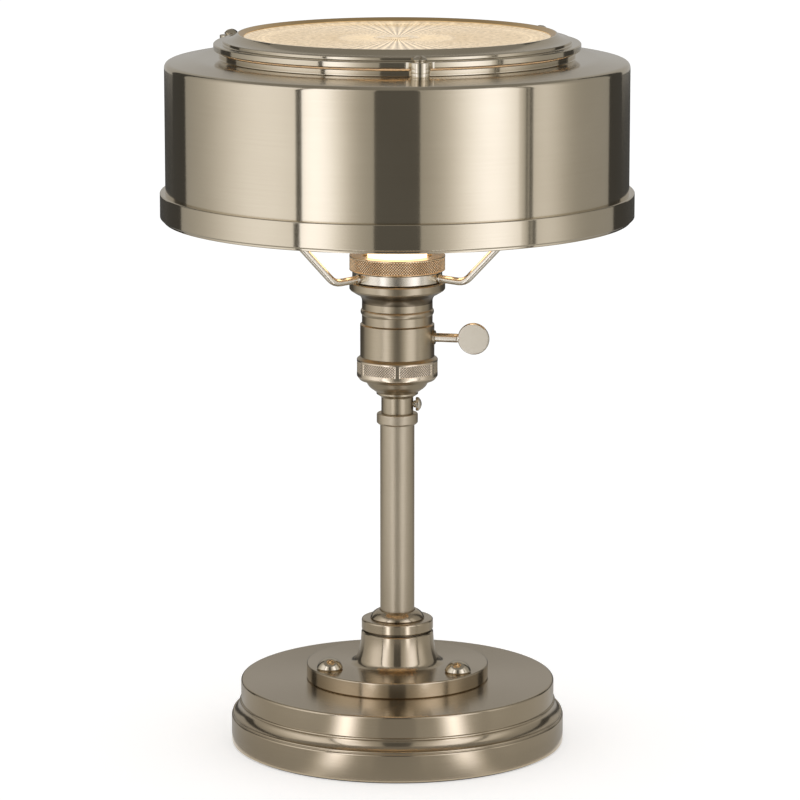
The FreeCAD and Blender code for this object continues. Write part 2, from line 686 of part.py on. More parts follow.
NODES = {
    "felt_pad": felt_pad,
    "bottom_plate": bottom_plate,
    "base_cover": base_cover,
    "base_weight": base_weight,
    "cord_bushing": cord_bushing,
    "lamp_pipe": lamp_pipe,
    "pipe_washer": pipe_washer,
    "pipe_nut": pipe_nut,
    "stem_flange": stem_flange,
    "flange_screws": flange_screws,
    "hub_collar": hub_collar,
    "dome_collar": dome_collar,
    "stem_tube": stem_tube,
    "stem_top_collar": stem_top_collar,
    "socket_cap": socket_cap,
    "set_screw": set_screw,
    "socket_shell": socket_shell,
    "shade_seat": shade_seat,
    "insulating_liner": insulating_liner,
    "socket_body": socket_body,
    "centre_contact": centre_contact,
    "screw_shell": screw_shell,
    "terminal_screws": terminal_screws,
    "lead_wires": lead_wires,
    "switch_bushing": switch_bushing,
    "switch_knob": switch_knob,
    "switch_shaft": switch_shaft,
    "knurled_ring": knurled_ring,
    "spider_ring": spider_ring,
    "arm_tabs": arm_tabs,
    "shade_drum": shade_drum,
    "shade_top": shade_top,
    "shade_band": shade_band,
    "lens_ring": lens_ring,
    "lens_glass": lens_glass,
    "lens_retainer": lens_retainer,
    "ring_spacers": ring_spacers,
    "ring_screws": ring_screws,
    "ring_nuts": ring_nuts,
    "bulb_base": bulb_base,
    "bulb_glass": bulb_glass,
    "bulb_stem": bulb_stem,
    "bulb_filament": bulb_filament,
}

os.makedirs("parts", exist_ok=True)
shapes = {name: build() for name, build in NODES.items()}
for number, azimuth in enumerate(ARM_AZ, start=1):
    shapes["spider_arm_" + str(number)] = spider_arm(azimuth)
for name, shape in shapes.items():
    shape.exportStep("parts/" + name + ".step")
    box = shape.BoundBox
    print(name, "solids", len(shape.Solids), "valid", shape.isValid(),
          "volume", round(shape.Volume), "z", round(box.ZMin, 2), round(box.ZMax, 2))
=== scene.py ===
import json
import logging
import math
from collections.abc import Callable
from dataclasses import dataclass, field
from enum import Enum

import bmesh
import bpy
import numpy as np
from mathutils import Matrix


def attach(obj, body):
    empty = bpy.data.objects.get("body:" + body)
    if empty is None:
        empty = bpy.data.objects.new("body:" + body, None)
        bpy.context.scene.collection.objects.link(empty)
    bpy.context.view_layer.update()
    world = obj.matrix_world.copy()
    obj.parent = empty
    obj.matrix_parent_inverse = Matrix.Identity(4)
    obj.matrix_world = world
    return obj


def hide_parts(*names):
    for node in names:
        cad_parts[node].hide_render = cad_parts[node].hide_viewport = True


Piece = bpy.types.Object
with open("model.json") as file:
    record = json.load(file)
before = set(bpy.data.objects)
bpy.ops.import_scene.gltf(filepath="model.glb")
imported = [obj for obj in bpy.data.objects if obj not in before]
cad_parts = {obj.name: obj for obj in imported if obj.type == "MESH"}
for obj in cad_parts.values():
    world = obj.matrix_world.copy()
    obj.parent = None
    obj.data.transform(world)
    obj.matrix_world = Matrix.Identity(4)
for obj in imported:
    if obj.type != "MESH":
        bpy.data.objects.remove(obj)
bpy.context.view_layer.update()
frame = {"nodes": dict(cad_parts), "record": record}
LOG = logging.getLogger("table_lamp")
MM = 0.001
ARC_DEGREES = 5
ROUND_DEGREES = 12
MERGE_DISTANCE = 1e-7
CUTTER_COLUMNS = 48
ROD_COLUMNS = 40
SMALL_COLUMNS = 64
HOLDER_COLUMNS = 256


class Grain(Enum):
    """Which way the brushing of a metal runs."""

    TURNED = "turned"
    PLAIN = "plain"


def operator(operation: str, swapped: bool = False) -> Callable:
    """Makes an operator method of Wire.

    Args:
        operation: the Math node's operation.
        swapped: whether the wire stands on the right of the other value.

    Returns:
        The method.
    """
    def apply(wire: "Wire", other: "Wire | float") -> "Wire":
        """Adds the Math node."""
        pair = (other, wire) if swapped else (wire, other)
        return wire.tree.math(operation, *pair)
    return apply


class Wire:
    """A shader value. Arithmetic on it adds Math nodes."""

    def __init__(self, tree: "ShaderTree", socket: bpy.types.NodeSocket) -> None:
        """Keeps the tree and the output socket."""
        self.tree = tree
        self.socket = socket

    __add__, __radd__ = operator("ADD"), operator("ADD", True)
    __sub__, __rsub__ = operator("SUBTRACT"), operator("SUBTRACT", True)
    __mul__, __rmul__ = operator("MULTIPLY"), operator("MULTIPLY", True)
    __truediv__, __rtruediv__ = operator("DIVIDE"), operator("DIVIDE", True)


class ShaderTree:
    """The node tree of one material, lamp or world, built by expressions."""

    def __init__(self, owner: bpy.types.ID) -> None:
        """Empties the owner's node tree.

        Args:
            owner: a material or the world.
        """
        owner.use_nodes = True
        self.nodes = owner.node_tree.nodes
        self.links = owner.node_tree.links
        self.nodes.clear()

    def node(self, kind: str, inputs: dict | None = None, out: str | int = 0, **settings) -> Wire:
        """Adds any node.

        Args:
            kind: the node's type without its prefix.
            inputs: values or wires by socket name or index.
            out: the output to use.
            **settings: the node's own settings, set before its inputs.

        Returns:
            The chosen output as a wire.
        """
        made = self.nodes.new("ShaderNode" + kind)
        for name, value in settings.items():
            setattr(made, name, value)
        for key, value in (inputs or {}).items():
            self.put(made.inputs[key], value)
        return Wire(self, made.outputs[out])

    def put(self, socket: bpy.types.NodeSocket, value: "Wire | float | tuple") -> None:
        """Links a wire to a socket, or sets a plain value on it. Colours get their alpha here."""
        if isinstance(value, Wire):
            self.links.new(value.socket, socket)
        else:
            socket.default_value = (*value, 1.0) if socket.type == "RGBA" else value

    def outputs(self, kind: str, names: "tuple | str", inputs: dict | None = None) -> list[Wire]:
        """Adds a node and gives several of its outputs by name."""
        made = self.node(kind, inputs).socket.node
        return [Wire(self, made.outputs[name]) for name in names]

    def math(self, operation: str, *values: "Wire | float") -> Wire:
        """Adds a Math node."""
        return self.node("Math", dict(enumerate(values)), operation=operation)

    def clamp(self, value: Wire, low: float = 0.0) -> Wire:
        """Keeps a value between a low limit and 1."""
        return self.node("Clamp", {"Value": value, "Min": low, "Max": 1.0})

    def contrast(self, value: Wire, gain: float) -> Wire:
        """Spreads a value about 0.5 by a gain, and keeps it between 0 and 1."""
        return self.clamp(value * gain - (gain - 1) / 2)

    def mix(self, factor: Wire, first: "Wire | tuple", second: "Wire | tuple") -> Wire:
        """Mixes two colours.

        Args:
            factor: 0 gives the first colour and 1 the second.
            first: a colour or a wire.
            second: a colour or a wire.

        Returns:
            The mixed colour.
        """
        return self.node("Mix", {"Factor": factor, 6: first, 7: second}, 2, data_type="RGBA")

    def position(self) -> Wire:
        """Object coordinates, in metres of the lamp's own frame."""
        return self.node("TexCoord", out="Object")

    def round_axis(self) -> tuple[Wire, Wire, Wire, Wire]:
        """The coordinates x, y and z, and the distance from the Z axis."""
        x, y, z = self.outputs("SeparateXYZ", "XYZ", {0: self.position()})
        return x, y, z, self.math("SQRT", x * x + y * y)

    def seen(self) -> Wire:
        """1 for the rays that are to see white: camera, glossy and transmission rays."""
        camera, glossy, through = self.outputs(
            "LightPath", ("Is Camera Ray", "Is Glossy Ray", "Is Transmission Ray"))
        return self.clamp(camera + glossy + through)

    def noise(self, vector: Wire, scale: float, detail: float = 2.0, rough: float = 0.5) -> Wire:
        """Soft noise of a position, about 0.5 on average."""
        return self.node("TexNoise", {"Vector": vector, "Scale": scale, "Detail": detail,
                                      "Roughness": rough})

    def turned_noise(self, pitch: float, sweep: float, detail: float = 2.0) -> Wire:
        """Noise drawn out along circles about Z, with no seam.

        The lookup point is (sweep cos a, sweep sin a, z / pitch) with the radius / pitch as the
        fourth coordinate, where a is the angle about Z.

        Args:
            pitch: the width of one streak, in metres.
            sweep: how often a streak changes along its circle.
            detail: octaves of the noise.

        Returns:
            The noise value, about 0.5 on average.
        """
        x, y, z, distance = self.round_axis()
        radius = distance + 1e-6
        point = self.node("CombineXYZ", {"X": x / radius * sweep, "Y": y / radius * sweep,
                                         "Z": z / pitch})
        return self.node("TexNoise", {"Vector": point, "W": radius / pitch, "Scale": 1.0,
                                      "Detail": detail}, noise_dimensions="4D")

    def bump(self, height: Wire, depth: float) -> Wire:
        """Normal from a height of 0 to 1, with the full height's depth in metres."""
        return self.node("Bump", {"Height": height, "Distance": depth, "Strength": 1.0})

    def surface(self, shader: Wire, owner: str = "Material") -> None:
        """Sends a shader to the output of a material or world."""
        output = self.nodes.new("ShaderNodeOutput" + owner)
        self.links.new(shader.socket, output.inputs["Surface"])


@dataclass(frozen=True)
class Finish:
    """A finish with a name; each kind builds its own nodes."""

    name: str

    def material(self) -> bpy.types.Material:
        """Builds the material."""
        made = bpy.data.materials.new(self.name)
        tree = ShaderTree(made)
        tree.surface(self.shader(tree))
        return made

    def shader(self, tree: ShaderTree) -> Wire:
        """The surface shader of this finish."""
        raise NotImplementedError


@dataclass(frozen=True)
class Nickel(Finish):
    """Brushed and antiqued nickel plate, lacquered."""

    light: tuple = (0.61, 0.535, 0.405)
    dark: tuple = (0.53, 0.455, 0.335)
    roughness: float = 0.13
    anisotropy: float = 1.0
    grain: Grain = Grain.TURNED
    streak: float = 0.30 * MM
    cloud: float = 22.0
    relief: float = 0.0012 * MM

    def shader(self, tree: ShaderTree) -> Wire:
        """Streaks of the brush, soft clouds of tarnish and fine scratches."""
        position = tree.position()
        clouds = tree.noise(position, self.cloud, 3.0, 0.55)
        if self.grain is Grain.TURNED:
            streaks = tree.turned_noise(self.streak, 2.2, 3.0)
        else:
            streaks = tree.noise(position, 900.0, 2.0)
        tone = tree.clamp((clouds - 0.5) * 1.1 + (streaks - 0.5) * 0.6 + 0.55)
        rough = tree.clamp((streaks - 0.5) * 0.03 + (clouds - 0.5) * 0.05 + self.roughness, 0.03)
        return tree.node("BsdfPrincipled", {
            "Base Color": tree.mix(tone, self.dark, self.light),
            "Metallic": 1.0,
            "Roughness": rough,
            "Anisotropic": self.anisotropy if self.grain is Grain.TURNED else 0.0,
            "Anisotropic Rotation": 0.25,
            "Normal": tree.bump(streaks, self.relief)})


@dataclass(frozen=True)
class Knurled(Nickel):
    """Nickel on a knurled band of a given radius, with painted shade in its grooves."""

    radius: float = 20.0 * MM
    depth: float = 0.4 * MM
    groove_painted_shade: tuple = (0.035, 0.015, 0.006)

    def shader(self, tree: ShaderTree) -> Wire:
        """Mixes to the painted shade by how far a point lies below the band's radius."""
        distance = tree.round_axis()[3]
        height = (distance - (self.radius - self.depth)) / self.depth
        speckle = tree.noise(tree.position(), 900.0, 2.0)
        share = tree.clamp(height * 4 - 0.6 + (speckle - 0.5) * 0.3)
        return tree.node("BsdfPrincipled", {
            "Base Color": tree.mix(share, self.groove_painted_shade, self.light),
            "Metallic": 1.0,
            "Roughness": tree.clamp(self.roughness + (1 - share) * 0.25, 0.05),
            "Normal": tree.bump(speckle, self.relief)})


@dataclass(frozen=True)
class Moulded(Finish):
    """Plastic, fibre or enamel: one colour with a fine texture."""

    colour: tuple = (0.05, 0.05, 0.05)
    roughness: float = 0.5
    scale: float = 700.0
    relief: float = 0.02 * MM
    spread: float = 0.12
    gain: float = 1.8
    metallic: float = 0.0

    def shader(self, tree: ShaderTree) -> Wire:
        """Noise that darkens the colour in specks, with its roughness and a fine relief."""
        specks = tree.noise(tree.position(), self.scale, 3.0)
        low = tuple(c * (1 - self.spread) for c in self.colour)
        return tree.node("BsdfPrincipled", {
            "Base Color": tree.mix(tree.contrast(specks, self.gain), low, self.colour),
            "Metallic": self.metallic,
            "Roughness": tree.clamp(self.roughness + (specks - 0.5) * 0.2, 0.05),
            "Normal": tree.bump(specks, self.relief)})


@dataclass(frozen=True)
class PlainMetal(Moulded):
    """Machined or cast metal seen only inside or below."""

    scale: float = 400.0
    relief: float = 0.01 * MM
    spread: float = 0.28
    gain: float = 1.6
    metallic: float = 1.0


@dataclass(frozen=True)
class Felt(Finish):
    """Short matted wool."""

    colour: tuple = (0.035, 0.035, 0.038)

    def shader(self, tree: ShaderTree) -> Wire:
        """Fibres as stretched noise, rough, with a little sheen."""
        fibres = tree.noise(tree.position(), 1400.0, 4.0, 0.7)
        return tree.node("BsdfPrincipled", {
            "Base Color": tree.mix(tree.contrast(fibres, 2.0), (0.012, 0.012, 0.014), self.colour),
            "Roughness": 0.95,
            "Sheen Weight": 0.35,
            "Normal": tree.bump(fibres, 0.2 * MM)})


@dataclass(frozen=True)
class LensGlass(Finish):
    """Pressed glass with a warm tint and a painted glow in the pattern of its ribs, standing in for
    the lamp's light.
    """

    tint: tuple = (0.38, 0.31, 0.22)
    bright: tuple = (0.86, 0.69, 0.46)
    shade: tuple = (0.10, 0.062, 0.028)
    fan_ribs: int = 72
    rim_ribs: int = 216
    fan_radius: float = 60 * MM
    rim_radius: float = 59 * MM
    rim_width: float = 5 * MM

    def shader(self, tree: ShaderTree) -> Wire:
        """Painted glow of the glass: a fan of ribs in the middle, dots near the rim and an uneven
        skin.

        A rib's painted light is a triangle wave of its number times the angle. The fan fades out
        along the radius, and the dots multiply it with rings.
        """
        x, y, _, radius = tree.round_axis()
        turns = tree.math("ARCTAN2", y, x) / math.tau
        fan = tree.math("PINGPONG", turns * self.fan_ribs, 0.5) * 2 - 0.5
        fan = fan * tree.clamp(1.25 - radius / self.fan_radius)
        dots = tree.math("PINGPONG", turns * self.rim_ribs, 0.5) * 2 - 0.5
        rings = tree.math("PINGPONG", radius / (2.3 * MM), 0.5) * 2
        near_rim = tree.clamp(1 - tree.math("ABSOLUTE", radius - self.rim_radius) / self.rim_width)
        skin = tree.noise(tree.position(), 420.0, 2.0)
        # Emission of this level is painted glow: it stands in for the bulb's light coming through
        # the ribs.
        light = tree.clamp(fan * 0.9 + dots * rings * near_rim * 1.2 + (skin - 0.5) * 0.7 + 0.45)
        return tree.node("BsdfPrincipled", {
            "Base Color": tree.mix(skin, (0.30, 0.24, 0.16), self.tint),
            "Roughness": tree.clamp(0.12 + (skin - 0.5) * 0.10, 0.02),
            "IOR": 1.50,
            "Transmission Weight": 0.18,
            "Emission Color": tree.mix(light, self.shade, self.bright),
            "Emission Strength": 1.0,
            "Normal": tree.bump(skin, 0.03 * MM)})


@dataclass(frozen=True)
class Glow(Finish):
    """A surface that shines, a little unevenly."""

    colour: tuple = (1.0, 0.70, 0.40)
    strength: float = 3.2

    def shader(self, tree: ShaderTree) -> Wire:
        """Warm light, softer where the frost is thick."""
        frost = tree.noise(tree.position(), 60.0, 3.0)
        low = tuple(c * 0.82 for c in self.colour)
        return tree.node("BsdfPrincipled", {
            "Base Color": tree.mix(frost, (0.78, 0.74, 0.68), (0.85, 0.82, 0.77)),
            "Roughness": 0.35,
            "Emission Color": tree.mix(tree.contrast(frost, 1.6), low, self.colour),
            "Emission Strength": self.strength})


SATIN = Nickel("satin_nickel")
BASE_NICKEL = Nickel("base_nickel", light=(0.53, 0.445, 0.32), dark=(0.43, 0.35, 0.245),
                     roughness=0.18, anisotropy=0.9, streak=0.22 * MM)
STEM_NICKEL = Nickel("stem_nickel", light=(0.52, 0.445, 0.325), dark=(0.44, 0.37, 0.265),
                     roughness=0.42, anisotropy=0.0)
SHELL_NICKEL = Nickel("dark_nickel", light=(0.45, 0.38, 0.27), dark=(0.35, 0.285, 0.19),
                      roughness=0.30, anisotropy=0.2)
# Warm, bright copy of the nickel: painted reflection of the lit glass on the bezel's inner rim.
RIM_PAINTED_REFLECTION = Nickel("rim_painted_reflection", light=(0.80, 0.56, 0.27), dark=(0.62, 0.42, 0.19),
                    roughness=0.30, anisotropy=0.3)
# Very dark copy of the nickel: painted shade in grooves and under ledges.
RECESS_PAINTED_SHADE = Nickel("recess_painted_shade", light=(0.19, 0.155, 0.105), dark=(0.13, 0.10, 0.065),
                roughness=0.30, anisotropy=0.3)
PALE = Nickel("pale_nickel", light=(0.74, 0.675, 0.56), dark=(0.64, 0.575, 0.46),
              roughness=0.24, grain=Grain.PLAIN)
SCREW_NICKEL = Nickel("screw_nickel", light=(0.62, 0.55, 0.43), roughness=0.13,
                      grain=Grain.PLAIN)
ENAMEL = Moulded("shade_enamel", (0.72, 0.62, 0.49), 0.45, 500.0, 0.01 * MM, 0.04)
FINISHES = {finish.name: finish for finish in (
    SATIN,
    SHELL_NICKEL,
    PALE,
    PlainMetal("zinc_steel", (0.60, 0.61, 0.63), 0.32),
    PlainMetal("brass", (0.80, 0.60, 0.27), 0.28),
    PlainMetal("nickel_brass", (0.72, 0.70, 0.66), 0.25),
    PlainMetal("cast_iron", (0.12, 0.12, 0.13), 0.75, 250.0, 0.3 * MM,
               metallic=0.6),
    Felt("felt"),
    Moulded("moulding", (0.035, 0.03, 0.03), 0.4),
    Moulded("fibre", (0.42, 0.25, 0.12), 0.7, 300.0, 0.05 * MM, 0.3),
    Moulded("insulation", (0.76, 0.73, 0.65), 0.45),
    Moulded("bushing_black", (0.03, 0.03, 0.03), 0.5),
    LensGlass("lens"),
    Glow("bulb_frost"),
    Glow("filament", (1.0, 0.62, 0.30), 20.0))}


@dataclass
class Library:
    """Materials by finish name, made once."""

    made: dict = field(default_factory=dict)

    def get(self, finish: Finish) -> bpy.types.Material:
        """The finish's material."""
        if finish.name not in self.made:
            self.made[finish.name] = finish.material()
        return self.made[finish.name]


LIBRARY = Library()


def placed(name: str, data: bpy.types.ID) -> Piece:
    """New object at the origin, in the scene."""
    made = bpy.data.objects.new(name, data)
    bpy.context.scene.collection.objects.link(made)
    return made


def settle(piece: Piece, body: str, slot: str, *nodes: str) -> Piece:
    """Lets a piece ride on a body and stand for CAD nodes, which it hides."""
    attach(piece, body)
    if nodes:
        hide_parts(*nodes)
    return piece


@dataclass(frozen=True)
class Corner:
    """A corner of an outline, in millimetres. The pieces list their corners as plain tuples.

    A rounding above 0 rounds the corner itself. The stretch that follows it takes the material
    with this index. It is straight, or the arc through its bend point, and a fine above 0 is its
    longest step.
    """

    radius: float
    height: float
    rounding: float = 0.0
    material: int = 0
    bend: tuple | None = None
    fine: float = 0.0


def dome(radius: float, low: float, height: float) -> tuple:
    """Halfway point of a round cap: on the sphere of radius (radius^2 + height^2) / 2 height."""
    sphere = (radius * radius + height * height) / (2 * height)
    half = math.asin(radius / sphere) / 2
    return sphere * math.sin(half), low + height - sphere * (1 - math.cos(half))


@dataclass(frozen=True)
class Stretch:
    """A straight or round stretch of an outline."""

    start: np.ndarray
    end: np.ndarray
    centre: np.ndarray | None = None
    sweep: float = 0.0

    @classmethod
    def between(cls, corner: Corner, after: Corner) -> "Stretch":
        """Line to the next corner, or the arc through the bend point.

        The centre c of the circle through a, b and m solves 2 (b - a) c = b b - a a and
        2 (m - a) c = m m - a a.

        Args:
            corner: where the stretch starts.
            after: where it ends.

        Returns:
            The stretch.
        """
        a = np.array((corner.radius, corner.height))
        b = np.array((after.radius, after.height))
        if corner.bend is None:
            return cls(a, b)
        m = np.array(corner.bend)
        squares = np.array((b @ b - a @ a, m @ m - a @ a))
        centre = np.linalg.solve(2 * np.array((b - a, m - a)), squares)
        first, middle, last = (math.atan2(*(point - centre)[::-1]) for point in (a, m, b))
        sweep = (last - first) % math.tau
        if (middle - first) % math.tau > sweep:
            sweep -= math.tau
        return cls(a, b, centre, sweep)

    @property
    def length(self) -> float:
        """Length along the stretch."""
        if self.centre is None:
            return float(np.linalg.norm(self.end - self.start))
        return abs(self.sweep) * float(np.linalg.norm(self.start - self.centre))

    def at(self, share: np.ndarray) -> np.ndarray:
        """Points at these shares of the length: start + share way, or centre + arm turned."""
        share = np.asarray(share, float)[:, None]
        if self.centre is None:
            return self.start + (self.end - self.start) * share
        arm = self.start - self.centre
        across = np.array((-arm[1], arm[0]))
        return self.centre + arm * np.cos(self.sweep * share) + across * np.sin(self.sweep * share)

    def direction(self, share: float) -> np.ndarray:
        """Unit direction of travel at a share of the length."""
        if self.centre is None:
            way = self.end - self.start
        else:
            arm = self.at(np.array([share]))[0] - self.centre
            way = np.array((-arm[1], arm[0])) * math.copysign(1.0, self.sweep)
        return way / np.linalg.norm(way)

    def samples(self, low: float, high: float, fine: float) -> np.ndarray:
        """Points inside the stretch between two shares of it, close to both of its ends."""
        length = self.length * (high - low)
        if length < 0.02:
            return np.zeros((0, 2))
        near = min(0.12, 0.2 * length) / self.length
        turn = math.degrees(abs(self.sweep))
        steps = 2 if self.centre is None else max(4, int(turn / ARC_DEGREES))
        if fine > 0:
            steps = max(steps, int(math.ceil(length / fine)) + 1)
        return self.at(np.linspace(low + near, high - near, steps))


@dataclass
class Outline:
    """A turned outline as points in metres, with a material index for each stretch."""

    points: np.ndarray
    materials: np.ndarray

    @classmethod
    def rounded(cls, corners: list[tuple], closed: bool = True, fine: float = 0.0) -> "Outline":
        """Joins the corners by their stretches and rounds them.

        A rounding of radius r at half angle h between the two stretches starts and ends at the
        distance r / tan h from the corner. It is the curve (1 - t)^2 a + 2 t (1 - t) c + t^2 b
        from its start a to its end b, and c is where their tangents meet.

        Args:
            corners: the values of each Corner, in order.
            closed: whether the last corner joins the first.
            fine: if above 0, the longest step along a stretch, in millimetres.

        Returns:
            The outline.
        """
        corners = [Corner(*corner) for corner in corners]
        count = len(corners)
        total = count if closed else count - 1
        runs = [Stretch.between(corners[i], corners[(i + 1) % count]) for i in range(total)]
        inner = [closed or 0 < i < count - 1 for i in range(count)]
        cuts = [cls.reach(corners[i], runs[i - 1], runs[i % total]) if inner[i] else 0.0
                for i in range(count)]
        points, materials = [], []
        for i, corner in enumerate(corners):
            if cuts[i] > 0:
                made = [cls.curve(runs[i - 1], runs[i % total], cuts[i])]
            else:
                made = [np.array([(corner.radius, corner.height)])]
            if i < total:
                run = runs[i]
                low, high = cuts[i] / run.length, 1 - cuts[(i + 1) % count] / run.length
                made.append(run.samples(low, high, corner.fine or fine))
            points.extend(made)
            materials.extend([corner.material] * sum(len(part) for part in made))
        return cls(np.concatenate(points) * MM, np.array(materials))

    @staticmethod
    def reach(corner: Corner, before: Stretch, after: Stretch) -> float:
        """Length that a corner's rounding takes from both of its stretches."""
        if corner.rounding <= 0:
            return 0.0
        open_angle = -before.direction(1.0) @ after.direction(0.0)
        half = math.acos(float(np.clip(open_angle, -1, 1))) / 2
        reach = corner.rounding / math.tan(half)
        return min(reach, 0.45 * before.length, 0.45 * after.length)

    @staticmethod
    def curve(before: Stretch, after: Stretch, reach: float) -> np.ndarray:
        """Points of one rounding."""
        leave, join = 1 - reach / before.length, reach / after.length
        a, b = before.at([leave])[0], after.at([join])[0]
        d, e = before.direction(leave), after.direction(join)
        turn = math.acos(float(np.clip(d @ e, -1, 1)))
        if turn < 0.02:
            return np.array([a, b])
        along = np.linalg.solve(np.stack([d, e], axis=1), b - a)[0]
        c = a + d * along
        t = np.linspace(0, 1, max(4, int(math.degrees(turn) / ROUND_DEGREES) + 1))[:, None]
        return (1 - t) ** 2 * a + 2 * t * (1 - t) * c + t ** 2 * b


def way_out(degrees: float) -> np.ndarray:
    """Level unit direction at an azimuth."""
    return np.array((math.cos(math.radians(degrees)), math.sin(math.radians(degrees)), 0.0))


@dataclass(frozen=True)
class Place:
    """The frame that a piece is made in: an origin in millimetres, a main axis and a side."""

    origin: tuple = (0.0, 0.0, 0.0)
    axis: tuple = (0.0, 0.0, 1.0)
    side: tuple = (1.0, 0.0, 0.0)

    @classmethod
    def upright(cls, radius: float, degrees: float, height: float = 0.0) -> "Place":
        """Upright frame at a radius and azimuth, with its side pointing outwards."""
        way = way_out(degrees)
        return cls(radius * way + (0.0, 0.0, height), side=way)

    @classmethod
    def outward(cls, degrees: float, height: float) -> "Place":
        """Frame on the lamp's axis whose main axis points outwards at an azimuth."""
        return cls((0.0, 0.0, height), way_out(degrees), (0.0, 0.0, 1.0))

    @classmethod
    def across(cls, radius: float, degrees: float, height: float) -> "Place":
        """Frame at a radius whose main axis is level and square to the azimuth."""
        way = way_out(degrees)
        return cls(radius * way + (0.0, 0.0, height), (-way[1], way[0], 0.0), (0.0, 0.0, 1.0))

    def put(self, points: np.ndarray) -> np.ndarray:
        """Moves points to origin + x side + y (axis x side) + z axis."""
        axis, side = np.array(self.axis), np.array(self.side)
        return points @ np.stack([side, np.cross(axis, side), axis]) + np.array(self.origin) * MM


